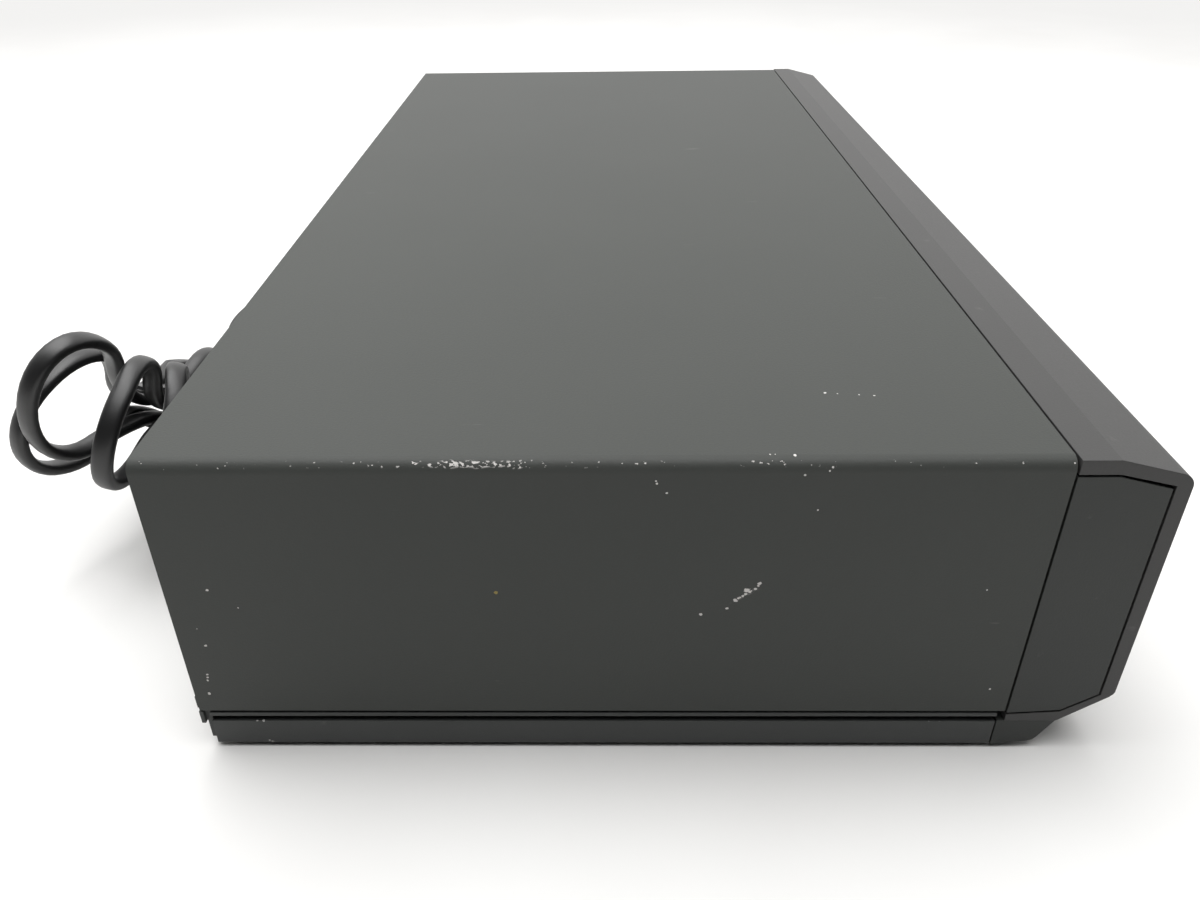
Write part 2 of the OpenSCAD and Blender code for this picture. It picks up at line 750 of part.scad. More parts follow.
// A tape guide: shoe under the deck, shank in the slot, base, upright roller and leaning post
module guide(m) {
    c = [m * guide_home[0], guide_home[1]];
    lean = [c[0] + m * 4, c[1] - 3];
    color([0.78, 0.78, 0.76]) behind_seam() {
        post(c, [deck_z - 3.2, deck_z - deck_t - 0.4], 4.4);
        post(c, [deck_z - 2, deck_z + 0.5], 2.3);
        post(c, [deck_z + 0.4, deck_z + 3.4], 6);
        post(c, [deck_z + 3, deck_z + 27], 1.5);
        post(c, [deck_z + 4.6, deck_z + 23.6], 4);
        post(c, [deck_z + 24.4, deck_z + 26.4], 3.6);
        translate([lean[0], lean[1], deck_z + 2]) rotate([0, m * 9, 0]) cylinder(h = 22, r = 1.1);
    }
}

module supply_guide() { guide(-1); }
module take_up_guide() { guide(1); }

// A tape head: block with a polished gap face, on a screwed base
module head(c, size) {
    post(c, [deck_z, deck_z + 2], 5.8);
    post(c, [deck_z + 1, deck_z + 6.5], 2.2);
    difference() {
        union() {
            bar([c[0] - size[0] / 2, c[0] + size[0] / 2], [c[1] - size[1] / 2, c[1] + size[1] / 2],
                [deck_z + 6, deck_z + 24]);
            post([c[0], c[1] + size[1] / 2 - 1], [deck_z + 6, deck_z + 24], size[0] / 2 - 0.4);
        }
        post([c[0], c[1]], [deck_z + 23.4, deck_z + 25], 1.4);
    }
}

// Full-erase head, and the head for sound and control track
module tape_heads() {
    color([0.55, 0.55, 0.57]) behind_seam() {
        head(erase_c, [9, 7]);
        head(audio_c, [8, 6]);
    }
}

// Cassette lift: frames, bridge, sliders with racks, pinion shaft and holder

module lift_frames() {
    color([0.66, 0.66, 0.64]) behind_seam() both_sides() {
        difference() {
            union() {
                across([frame_x, frame_x + plate_t]) difference() {
                    union() {
                        translate([frame_s[0], deck_z + 8])
                            square([frame_s[1] - frame_s[0], frame_top - deck_z - 8]);
                        translate([8, deck_z]) square([frame_s[1] - 8, 12]);
                        translate([sync_s - 6, frame_top - 2]) square([12, 6.8]);
                    }
                    slot2d([slider_pins[0] - 1, rail_z], [slider_pins[1] + travel_in + 1, rail_z],
                        pin_r + fit);
                    translate([20, deck_z + 14]) square([30, 24]);
                    translate([64, deck_z + 14]) square([40, 24]);
                }
                for (s = [[24, 38], [96, 110]])
                    bar([frame_x, frame_x + 7], s, [deck_z, deck_z + plate_t]);
            }
            rod_x([frame_x - 2, frame_x + 4], sync_s, sync_z, sync_r + fit);
        }
    }
}

module lift_bridge() {
    color([0.66, 0.66, 0.64]) behind_seam() difference() {
        union() {
            bar([-frame_x - plate_t, frame_x + plate_t], [64, 96], [frame_top, frame_top + 1]);
            bar([-frame_x - plate_t, frame_x + plate_t], [64, 65], [frame_top, frame_top + 4]);
            bar([-frame_x - plate_t, frame_x + plate_t], [95, 96], [frame_top, frame_top + 4]);
        }
        for (x = [-70 : 35 : 70]) post([x, 80], [frame_top - 1, frame_top + 2], 8);
    }
}

// Teeth of a rack on the top edge of a slider, drawn in s and z
module rack2d(from, to) {
    pitch = PI * gear_module;
    lean = gear_module * tan(20);
    half = pitch / 4 - 0.12;
    // A gap of the rack, not a tooth, lies under the pinion's axis when a tooth points down
    for (k = [ceil((from - sync_s) / pitch) : floor((to - sync_s) / pitch) - 1])
        translate([sync_s + (k + 0.5) * pitch, rack_z])
            polygon([[-half - lean, -gear_module * 1.25], [-half + lean, gear_module],
                [half - lean, gear_module], [half + lean, -gear_module * 1.25]]);
}

module slider() {
    color([0.88, 0.88, 0.84]) behind_seam() {
        across([slider_x, slider_x + plate_t]) difference() {
            union() {
                translate([slider_s[0], deck_z + 6])
                    square([slider_s[1] - slider_s[0], rack_z - gear_module * 1.2 - deck_z - 6]);
                rack2d(slider_s[0] + 2, slider_s[1] - 1);
            }
            for (s = holder_pins)
                slot2d([s, holder_pin_z - travel_down - 0.5], [s, holder_pin_z + 0.5], pin_r + fit);
            translate([14, deck_z + 12]) square([20, 26]);
        }
        for (s = slider_pins) {
            rod_x([slider_x + plate_t - 0.1, frame_x + plate_t + 0.8], s, rail_z, pin_r);
            rod_x([frame_x + plate_t + 0.4, frame_x + plate_t + 1.4], s, rail_z, pin_r + 1);
        }
    }
}

module slider_right() { slider(); }
module slider_left() { mirror([1, 0, 0]) slider(); }

// One side of a tooth space: points of an involute from the base circle outwards
function involute(base, r) = let (t = sqrt(r * r / (base * base) - 1)) t * 180 / PI - atan(t);

module pinion2d() {
    base = pitch_r * cos(20);
    tip = pitch_r + gear_module;
    root = pitch_r - gear_module * 1.2;
    half = 90 / pinion_teeth - 1.2 + involute(base, pitch_r);
    steps = 4;
    low = max(base, root);
    flank = [for (k = [0 : steps]) let (r = low + (tip - low) * k / steps) [r, half - involute(base, r)]];
    circle(root + 0.01);
    for (k = [0 : pinion_teeth - 1]) rotate(90 + k * 360 / pinion_teeth)
        polygon(concat([[0.6 * root, -0.6], [root * cos(half), -root * sin(half)]],
            [for (p = flank) p[0] * [cos(p[1]), -sin(p[1])]],
            [for (k = [steps : -1 : 0]) flank[k][0] * [cos(flank[k][1]), sin(flank[k][1])]],
            [[root * cos(half), root * sin(half)], [0.6 * root, 0.6]]));
}

module sync_shaft() {
    color([0.8, 0.8, 0.8]) behind_seam() {
        rod_x([-frame_x - plate_t - 2, frame_x + plate_t + 8], sync_s, sync_z, sync_r);
        both_sides() translate([0, sync_s, sync_z]) {
            across([slider_x - 0.3, slider_x + plate_t + 0.3]) difference() {
                pinion2d();
                circle(sync_r - 0.1);
            }
            across([slider_x - 2, slider_x - 0.3]) difference() {
                circle(pitch_r - 1.2);
                circle(sync_r - 0.1);
            }
        }
        rod_x([-frame_x - plate_t - 1.4, -frame_x - plate_t - 0.6], sync_s, sync_z, sync_r + 1.2);
    }
}

// Holder that the cassette slides into: side walls, ledges under its edges and a top
module cassette_holder() {
    color([0.72, 0.72, 0.7]) behind_seam() {
        difference() {
            bar([-holder_out, holder_out], [10, holder_s[1]], [holder_top, holder_top + holder_t]);
            for (x = [-48, 48]) post([x, 36], [holder_top - 1, holder_top + 2], 14);
            bar([-20, 20], [24, 50], [holder_top - 1, holder_top + 2]);
        }
        both_sides() {
            difference() {
                bar([holder_in, holder_out], holder_s, [holder_floor - holder_t, holder_top + holder_t]);
                translate([holder_in - 1, 16, holder_floor + 5]) cube([3, 20, 14]);
            }
            bar([holder_in - 9, holder_out], holder_s, [holder_floor - holder_t, holder_floor]);
            bar([holder_in - 9, holder_out], [holder_s[1] - holder_t, holder_s[1]],
                [holder_floor - holder_t, holder_floor + 9]);
            for (s = holder_pins)
                rod_x([holder_out - 0.1, slider_x + plate_t + 1.6], s, holder_pin_z, pin_r);
        }
    }
}

// Motor with its closed gearbox, which turns the pinion shaft
module lift_motor() {
    x = frame_x + plate_t + 2.6;
    color([0.85, 0.85, 0.8]) behind_seam() {
        difference() {
            union() {
                bar([x, x + 20], [sync_s - 10, sync_s + 22], [holder_pin_z, case_h - 3]);
                bar([frame_x + plate_t, x], [sync_s + 10, sync_s + 16], [frame_top - 6, frame_top - 1]);
            }
            rod_x([x - 1, x + 8], sync_s, sync_z, sync_r + fit);
            bar([x + 17, x + 21], [sync_s - 6, sync_s + 18], [holder_pin_z + 3, case_h - 6]);
        }
        rod_s([sync_s + 21.5, sync_s + 48], x + 10, holder_pin_z + 11, 10);
        rod_s([sync_s + 47.5, sync_s + 50], x + 10, holder_pin_z + 11, 4);
    }
}

// Circuit boards and what is soldered to them

module main_board() {
    left = -rail_x + 5.2;
    color([0.12, 0.32, 0.18]) behind_seam() {
        difference() {
            bar([left, half_w - 8], [10, panel_s - panel_t - 3], [board_z, board_z + board_t]);
            for (s = post_s) post([rail_x, s], [board_z - 1, board_z + 3], post_r + 0.6);
        }
        for (c = [[half_w - 75, 40], [half_w - 39, 84], [-40, panel_s - 27.6]])
            bar([c[0] - 14, c[0] + 14], [c[1] - 7, c[1] + 7], [board_z + board_t, board_z + board_t + 3]);
        for (k = [0 : 5]) post([half_w - 85 + k * 13, 116], [board_z + board_t, board_z + board_t + 11], 4);
        bar([half_w - 65, half_w - 25], [20, 26], [board_z + board_t, board_z + board_t + 8]);
    }
}

module tuner_can() {
    top = board_z + board_t + 22;
    color([0.75, 0.75, 0.74]) behind_seam() {
        bar([half_w - 59, half_w - 15], [panel_s - 63.6, panel_s - panel_t - 0.1], [board_z + board_t, top]);
        for (c = aerial_c) difference() {
            rod_s([panel_s - panel_t - 0.2, rear_end], c[0], c[1], 4.8);
            rod_s([panel_s + 1, rear_end + 1], c[0], c[1], 3.6);
        }
        rod_s([panel_s, rear_end - 1], aerial_c[0][0], aerial_c[0][1], 1.2);
        rod_s([panel_s, rear_end - 1], aerial_c[1][0], aerial_c[1][1], 1.2);
    }
}

// The slanted outline of a 21-way socket, grown by a gap
module scart_outline(gap) {
    w = 23.5 + gap;
    h = 7.8 + gap;
    polygon([[-w, -h], [w - 4, -h], [w, -h + 6], [w, h], [-w, h]]);
}

module scart_sockets() {
    color([0.1, 0.1, 0.1]) behind_seam() for (c = scart_c) difference() {
        union() {
            along([panel_s - 12, cover_d + 2]) translate(c) scart_outline(0);
            bar([c[0] - 20, c[0] + 20], [panel_s - 16, panel_s - 4],
                [board_z + board_t, c[1] - 7]);
        }
        along([panel_s - 6, cover_d + 3]) translate(c) difference() {
            scart_outline(-2);
            square([38, 6], center = true);
        }
        for (k = [0 : 9], r = [-1, 1]) bar([c[0] - 18 + k * 3.8, c[0] - 16.6 + k * 3.8],
            [panel_s - 4, cover_d + 3], [c[1] + r * 1.6 - 0.5, c[1] + r * 1.6 + 0.5]);
    }
}

module phono_sockets() {
    color([0.85, 0.8, 0.5]) behind_seam() {
        bar([phono_c[1][0] - 7, phono_c[0][0] + 7], [panel_s - 14, panel_s - panel_t - 0.1],
            [board_z + board_t, phono_c[0][1] + 7]);
        for (c = phono_c) difference() {
            rod_s([panel_s - panel_t - 0.2, rear_end - 0.4], c[0], c[1], 4.2);
            rod_s([panel_s, rear_end + 1], c[0], c[1], 1.7);
        }
    }
}

module power_board() {
    top = board_z + board_t;
    color([0.5, 0.38, 0.2]) behind_seam() {
        bar([-half_w + 8, -rail_x - 5.2], [10, panel_s - panel_t - 3], [board_z, top]);
        post([(55 - half_w - rail_x) / 2, 70], [top, top + 34], 11);
        for (s = [100, 118]) post([-rail_x - 22, s], [top, top + 22], 7);
        bar([15 - half_w, 39 - half_w], [150, 166], [top, top + 16]);
        bar([-rail_x - 42, -rail_x - 10], [139, 141], [top, top + 40]);
        for (k = [0 : 5]) translate([k * 6 - rail_x - 41, 141, top]) cube([1.4, 9, 38]);
        rod_s([panel_s - 33.6, panel_s - 15.6], 55 - half_w, top + 2.8, 3);
    }
}

module transformer() {
    z = board_z + board_t;
    core = [19 - half_w, 55 - half_w];
    color([0.25, 0.2, 0.16]) behind_seam() {
        for (s = [56, 94]) bar(core, [s, s + 8], [z + 4, z + 34]);
        bar(core + [8, -8], [56, 102], [z + 14, z + 24]);
        bar(core, [56, 102], [z + 28, z + 34]);
        bar(core, [56, 102], [z + 4, z + 9]);
        rod_s([66, 92], core[0] + 18, z + 18.5, 9.4);
        for (x = core + [4, -4], s = [60, 98]) post([x, s], [z, z + 5], 1.2);
    }
}

// Mains lead: a ribbed sleeve, a free stretch, a hank of loops, a free tail and a two-pin plug

relief_len = 24;
relief_end = panel_s + relief_len;

module strain_relief() {
    color([0.07, 0.07, 0.07]) behind_seam() translate([lead_c[0], panel_s, lead_c[1]]) rotate([-90, 0, 0])
        difference() {
            union() {
                translate([0, 0, -panel_t - 3]) cylinder(h = 3, r = 7);
                translate([0, 0, -panel_t - 0.1]) cylinder(h = panel_t + 0.2, r = 5);
                cylinder(h = 2.4, r = 7);
                translate([0, 0, 2.4]) cylinder(h = relief_len - 2.4, r1 = 5.6, r2 = 4.1);
            }
            for (k = [0 : 3], a = [0, 180]) rotate(a) translate([3, -8, 5 + k * 4.4]) cube([8, 16, 1.4]);
        }
}

function unit(v) = v / norm(v);
function clamp(x) = min(1, max(0, x));

// Half of a hank loop as [u, v] at a share of its length: inward bend, round end, inward bend.
// reach is how far the round end's centre lies from the waist.
waist_v = 2.6;
function half_loop(share, reach) =
    let (wide = (reach ^ 2 + waist_v ^ 2 - hank_bend ^ 2) / (2 * (hank_bend - waist_v)),
        turn = asin(reach / (hank_bend + wide)), run = wide * turn * PI / 180,
        tip = hank_bend * (180 + 2 * turn) * PI / 180, l = share * (2 * run + tip),
        t = min(l, 2 * run + tip - l) / wide * 180 / PI,
        a = (l - run) / hank_bend * 180 / PI - 90 - turn)
    l < run || l > run + tip ? [wide * sin(t), (l < run ? -1 : 1) * (waist_v + wide - wide * cos(t))]
    : [reach + hank_bend * cos(a), hank_bend * sin(a)];

// The hank's waist, [x, s, z]; hank_v is across its loops, hank_u along the last one, hank_n its axis
hank_c = [-106, 258, 42.4];
hank_v = unit([0.42, -0.25, 0.87]);
hank_turn = 86;
level = unit([0, 1, 0] - hank_v[1] * hank_v);
hank_u = cos(hank_turn) * level + sin(hank_turn) * cross(hank_v, level);
hank_n = cross(hank_u, hank_v);
right_reach = 44;
right_spread = 5;

// How each loop's left end lies, from the first loop to the last half: its reach, the degrees it
// is bent along the hank's axis and twisted about its own length, and how far it is raised
left_reach = [30, 32, 40, 28];
left_bend = hank_fan * [-0.62, -0.23, 0.17, 0.38];
left_twist = [2, -3, -16, -8];
left_rise = [0, -1, 5, -2];
function by_layer(values, layer) = lookup(layer, [for (k = [0 : hank_loops]) [k - hank_loops, values[k]]]);

// A point of the hank and the direction of the lead's width there. Each loop is one layer
// further along the axis, and the climb from one to the next lies along its runs.
function hank_at(turn) =
    let (q = turn - floor(turn), left = q < 0.5, side = left ? 1 : -1,
        reach = left ? left_reach[floor(turn)] : right_reach, uv = half_loop(left ? 2 * q : 2 * q - 1, reach),
        layer = floor(turn) + clamp((q - 0.3) / 0.4) - hank_loops,
        bend = (left ? by_layer(left_bend, layer) : right_spread * layer) / (reach + hank_bend),
        twist = left ? by_layer(left_twist, layer) * min(1, uv[0] / reach) : 0,
        rise = left ? by_layer(left_rise, layer) * (uv[0] / reach) ^ 2 : 0,
        along = layer * hank_pitch + uv[1] * sin(twist),
        a = bend * uv[0], r = abs(bend) < 0.001 ? 0 : 180 / PI / bend,
        pu = (r == 0 ? uv[0] : r * sin(a)) - along * sin(a),
        pv = uv[1] * cos(twist) + rise,
        pn = r * (1 - cos(a)) + along * cos(a))
    [hank_c + side * (pu * hank_u + pv * hank_v) + pn * hank_n,
        cos(twist) * (cos(a) * hank_n - side * sin(a) * hank_u) - sin(twist) * side * hank_v];

rings = 24;
hank_from = -2 / rings;
hank_to = hank_loops + 0.5 + 2 / rings;
function hank_heading(turn) = unit(hank_at(turn + 0.001)[0] - hank_at(turn - 0.001)[0]);
hank_starts = [hank_heading(hank_from), hank_heading(hank_to)];
hank_run = [for (i = [-2 : rings * (hank_loops + 0.5) + 2]) hank_at(i / rings)];
hank_pts = concat([hank_run[0][0] - cord_w * hank_starts[0]], [for (p = hank_run) p[0]],
    [hank_run[len(hank_run) - 1][0] + cord_w * hank_starts[1]]);
hank_wides = concat([hank_run[0][1]], [for (p = hank_run) p[1]], [hank_run[len(hank_run) - 1][1]]);

// Sections of the lead, in half widths and half thicknesses
six = [[1, 0], [0.62, 1], [-0.62, 1], [-1, 0], [-0.62, -1], [0.62, -1]];
eight = [[1, 0.42], [0.6, 1], [-0.6, 1], [-1, 0.42], [-1, -0.42], [-0.6, -1], [0.6, -1], [1, -0.42]];
function cord_ring(p, t, wide, sides) = let (w = unit(wide - (wide * t) * t), n = cross(t, w))
    [for (a = sides) p + a[0] * cord_w / 2 * w + a[1] * cord_t / 2 * n];

function tube_rings(pts, wides, starts, sides) = let (last = len(pts) - 1)
    [for (i = [0 : last]) cord_ring(pts[i], i == 0 ? starts[0] : i == last ? starts[1]
        : unit(pts[i + 1] - pts[i - 1]), wides[i], sides)];

// Sweeps a flat section along points; wides holds the direction of its width at each
module sweep(pts, wides, starts, sides) {
    m = len(sides);
    last = len(pts) - 1;
    faces = concat([[for (k = [0 : m - 1]) k]],
        [for (i = [0 : last - 1], k = [0 : m - 1]) each [
            [i * m + k, (i + 1) * m + k, i * m + (k + 1) % m],
            [i * m + (k + 1) % m, (i + 1) * m + k, (i + 1) * m + (k + 1) % m]]],
        [[for (k = [m - 1 : -1 : 0]) last * m + k]]);
    polyhedron(points = [for (r = tube_rings(pts, wides, starts, sides)) each r], faces = faces,
        convexity = 10);
}

// Least distance between points of the tube's rings that are more than six rings apart
function least_gap(r, pts) = min([for (i = [0 : len(r) - 1], j = [i + 7 : 1 : len(r) - 1])
    if (norm(pts[i] - pts[j]) < 12) each [for (p = r[i], q = r[j]) norm(p - q)]]);

module mains_hank() {
    echo(hank_gap = least_gap(tube_rings(hank_pts, hank_wides, hank_starts, six), hank_pts));
    color([0.06, 0.06, 0.06]) behind_seam() sweep(hank_pts, hank_wides, hank_starts, six);
}

// A strap with a buckle round the waist, which holds the loops together
module hank_tie() {
    inner = [10.4, (hank_loops + 0.5) * hank_pitch + cord_w + 1];
    middle = hank_c + (0.25 - hank_loops / 2) * hank_pitch * hank_n;
    color([0.05, 0.05, 0.05]) behind_seam()
        multmatrix([for (k = [0 : 2]) [hank_v[k], hank_n[k], hank_u[k], middle[k]]])
            translate([0, 0, -4.3]) {
                linear_extrude(5) difference() {
                    round_rect2d(inner + [2.4, 2.4], 3.4);
                    round_rect2d(inner, 2.4);
                }
                translate([inner[0] / 2 + 1.1, -4, -0.8]) cube([1.8, 8, 6.6]);
            }
}

// Free stretch from the sleeve to the hank: points [x, s, z], and the width's direction at each
lead_pts = concat([[lead_c[0], relief_end, lead_c[1]], [6, 234, 34], [3.8, 244.3, 33], [-2.4, 252.8, 31],
    [-11.5, 257.5, 27.5], [-22, 257.5, 23], [-32, 253.5, 18], [-40, 246, 13], [-46.5, 237, 9],
    [-53, 230, 6.2], [-61, 227, 4.4], [-70, 227.4, 3.6], [-78.5, 230.6, 4.6], [-85.3, 234.6, 8.6]],
    [hank_pts[0]]);
lead_wides = [for (i = [0 : 14]) i < 10 ? [0, 0, 1] : i < 11 ? [0.1, 0.4, 0.8] : i < 12 ? [0.1, 0.7, 0.6]
    : i < 13 ? [0.2, 0.9, 0.3] : hank_wides[0]];

module mains_cord() {
    color([0.06, 0.06, 0.06]) behind_seam()
        sweep(lead_pts, lead_wides, [[0, 1, 0], hank_starts[0]], eight);
}

// Free stretch from the hank down to the plug
plug_c = [-10, 252, 6.85];
tail_pts = concat([hank_pts[len(hank_pts) - 1]], [[-65.5, 258, 37], [-58, 258.4, 32.5], [-52.5, 259.6, 26.5],
    [-48, 261.2, 20], [-41, 261.8, 14], [-33.5, 259.6, 10], [-26, 256, 7.6], [-18, 253.2, 6.9], plug_c]);

module mains_tail() {
    color([0.06, 0.06, 0.06]) behind_seam()
        sweep(tail_pts, [for (p = tail_pts) [0, 1, 0.1]], [hank_starts[1], [1, 0, 0]], eight);
}

// Two-pin plug: a tapered sleeve, a flat body waisted for the fingers, and half-sleeved pins
module mains_plug() {
    sleeve = 20;
    body = [36, 35.3, 13.7];
    color([0.06, 0.06, 0.06]) behind_seam() translate(plug_c) {
        difference() {
            rod_x([0, sleeve + 0.5], 0, 0, 4.1);
            for (k = [0 : 3], a = [0, 180]) rotate([a, 0, 0]) translate([4 + k * 4, -6, 2.8])
                cube([1.6, 12, 4]);
        }
        intersection() {
            translate([sleeve, 0, -body[2] / 2]) linear_extrude(body[2])
                polygon([[0, -7], [5, -11.5], [12, -13.5], [20, -14.6], [28, -17], [31, -17.65], [36, -17.65],
                    [36, 17.65], [31, 17.65], [28, 17], [20, 14.6], [12, 13.5], [5, 11.5], [0, 7]]);
            translate([sleeve, 20, 0]) rotate([90, 0, 0]) linear_extrude(40)
                polygon([[0, -4.6], [8, -5.8], [26, -6.85], [35, -6.85], [36, -6], [36, 6], [35, 6.85],
                    [26, 6.85], [8, 5.8], [0, 4.6]]);
        }
        for (y = [-9.5, 9.5]) {
            rod_x([sleeve + body[0] - 0.5, sleeve + body[0] + 10], y, 0, 1.9);
            rod_x([sleeve + body[0] + 10, sleeve + body[0] + 18], y, 0, 2);
            rod_x([sleeve + body[0] + 18, sleeve + body[0] + 19], y, 0, 1.5);
        }
    }
}

chassis_frame();
bottom_plate();
feet();
top_cover();
screws();
rear_panel();
front_carrier();
front_skirt();
front_fascia();
display_window();
display_tube();
front_board();
cassette_door();
power_button();
eject_button();
rewind_button();
play_button();
fast_forward_button();
stop_button();
pause_button();
record_button();
channel_rocker();
deck_chassis();
deck_posts();
drum_base();
lower_drum();
upper_drum();
capstan_bearing();
capstan();
drive_belt();
centre_pulley();
idler_arm();
idler_wheel();
supply_reel();
take_up_reel();
tension_arm();
pinch_arm();
pinch_roller();
supply_guide();
take_up_guide();
tape_heads();
lift_frames();
lift_bridge();
slider_left();
slider_right();
sync_shaft();
cassette_holder();
lift_motor();
main_board();
tuner_can();
scart_sockets();
phono_sockets();
power_board();
transformer();
strain_relief();
mains_cord();
mains_hank();
hank_tie();
mains_tail();
mains_plug();
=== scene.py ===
# %% [markdown]
# # A full-width video cassette recorder, seen from its left end
#
# The recorder is a steel cover over a black plastic tray, with a moulded front panel and a flat
# mains lead tied in a hank behind it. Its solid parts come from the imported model, so the work here
# is the finish of each surface, the lead, and the small things that a mould or a brush leaves.

# %% Load the solid parts
import json
import math

import bmesh
import bpy
from mathutils import Matrix, Vector


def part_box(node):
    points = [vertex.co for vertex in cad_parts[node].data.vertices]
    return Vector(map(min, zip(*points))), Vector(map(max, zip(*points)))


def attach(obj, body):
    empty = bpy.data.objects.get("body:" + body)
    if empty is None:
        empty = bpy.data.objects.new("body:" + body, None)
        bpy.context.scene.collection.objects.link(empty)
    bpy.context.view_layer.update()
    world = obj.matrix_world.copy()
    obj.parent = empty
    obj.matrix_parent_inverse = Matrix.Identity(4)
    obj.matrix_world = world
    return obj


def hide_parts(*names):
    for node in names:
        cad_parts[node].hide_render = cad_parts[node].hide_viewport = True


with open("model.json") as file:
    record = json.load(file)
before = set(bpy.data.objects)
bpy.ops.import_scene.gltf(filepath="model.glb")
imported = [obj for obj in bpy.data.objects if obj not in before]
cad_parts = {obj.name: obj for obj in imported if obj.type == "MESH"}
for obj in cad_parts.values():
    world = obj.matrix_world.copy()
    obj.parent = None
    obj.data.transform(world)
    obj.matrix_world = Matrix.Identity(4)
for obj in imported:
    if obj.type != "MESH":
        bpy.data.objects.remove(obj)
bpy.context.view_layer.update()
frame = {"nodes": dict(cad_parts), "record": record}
nodes = frame["nodes"]
MM = 0.001
seam_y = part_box("top_cover")[0].y
case_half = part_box("top_cover")[1].x


def at(x, s, z):
    """A point given in millimetres, with s counted back from the seam of cover and front panel."""
    return Vector((x * MM, s * MM + seam_y, z * MM))


print("seam at", round(seam_y, 5), "half width", round(case_half, 4))

# %% [markdown]
# ## The camera
#
# The photograph was taken close to the left end, from a little above, with a phone's wide lens, so
# the near edge runs almost level and the far end shrinks quickly. A camera can be aimed by eye, but
# eight corners of the case fix its place, its turn and its focal length, so those values are used.

# %% Place the camera
picture_width = 1200
focal_pixels = 970.4
lens_offset = (-14.07, -1.86)
camera_place = Vector((-389.7 * MM, 101.3 * MM + seam_y, 199.5 * MM))
camera_forward = Vector((0.8507, 0.0167, -0.5253)).normalized()
camera_right = Vector((0.0122, -0.9999, -0.0121)).normalized()

camera_data = bpy.data.cameras.new("camera")
camera = bpy.data.objects.new("camera", camera_data)
bpy.context.scene.collection.objects.link(camera)
camera_up = camera_right.cross(camera_forward).normalized()
turn = Matrix((camera_right, camera_up, -camera_forward)).transposed()
camera.matrix_world = Matrix.Translation(camera_place) @ turn.to_4x4()
camera_data.sensor_width = 36
camera_data.lens = focal_pixels * camera_data.sensor_width / picture_width
camera_data.shift_x = -lens_offset[0] / picture_width
camera_data.shift_y = lens_offset[1] / picture_width
camera_data.clip_start = 0.01
bpy.context.scene.camera = camera
print("lens", round(camera_data.lens, 2), "mm")

# %% [markdown]
# ## Arithmetic on sockets
#
# Worn paint is the paint's colour plus grain, chips and scratches. Wiring that by hand hides the
# idea, so one class wraps an output socket and lets Python's own operators add the Math nodes.


# %% A socket that can be added, multiplied and compared
class Field:
    """One output socket of a material, which ordinary arithmetic turns into Math nodes."""

    def __init__(self, tree, socket):
        self.tree = tree
        self.socket = socket

    def node(self, kind, inputs, settings=None, output=0):
        return add_node(self.tree, kind, inputs, settings, output)

    def maths(self, operation, *values):
        inputs = dict(enumerate(values))
        return self.node("ShaderNodeMath", inputs, {"operation": operation})

    def through(self, operation):
        """This value put through an operation that takes one number, such as a sine."""
        return self.maths(operation, self)

    def __add__(self, other):
        return self.maths("ADD", self, other)

    def __sub__(self, other):
        return self.maths("SUBTRACT", self, other)

    def __rsub__(self, other):
        return self.maths("SUBTRACT", other, self)

    def __mul__(self, other):
        return self.maths("MULTIPLY", self, other)

    def __abs__(self):
        return self.through("ABSOLUTE")

    def either(self, other):
        return self.maths("MAXIMUM", self, other)

    def rise(self, low, high):
        """0 below low, 1 above high and smooth between; low may be the larger."""
        inputs = {"Value": self, "From Min": low, "From Max": high}
        return self.node("ShaderNodeMapRange", inputs, {"interpolation_type": "SMOOTHSTEP"})


def add_node(tree, kind, inputs, settings=None, output=0):
    made = tree.nodes.new(kind)
    for name, value in (settings or {}).items():
        setattr(made, name, value)
    for name, value in inputs.items():
        socket = made.inputs[name]
        if isinstance(value, Field):
            tree.links.new(value.socket, socket)
        else:
            socket.default_value = value
    return Field(tree, made.outputs[output])


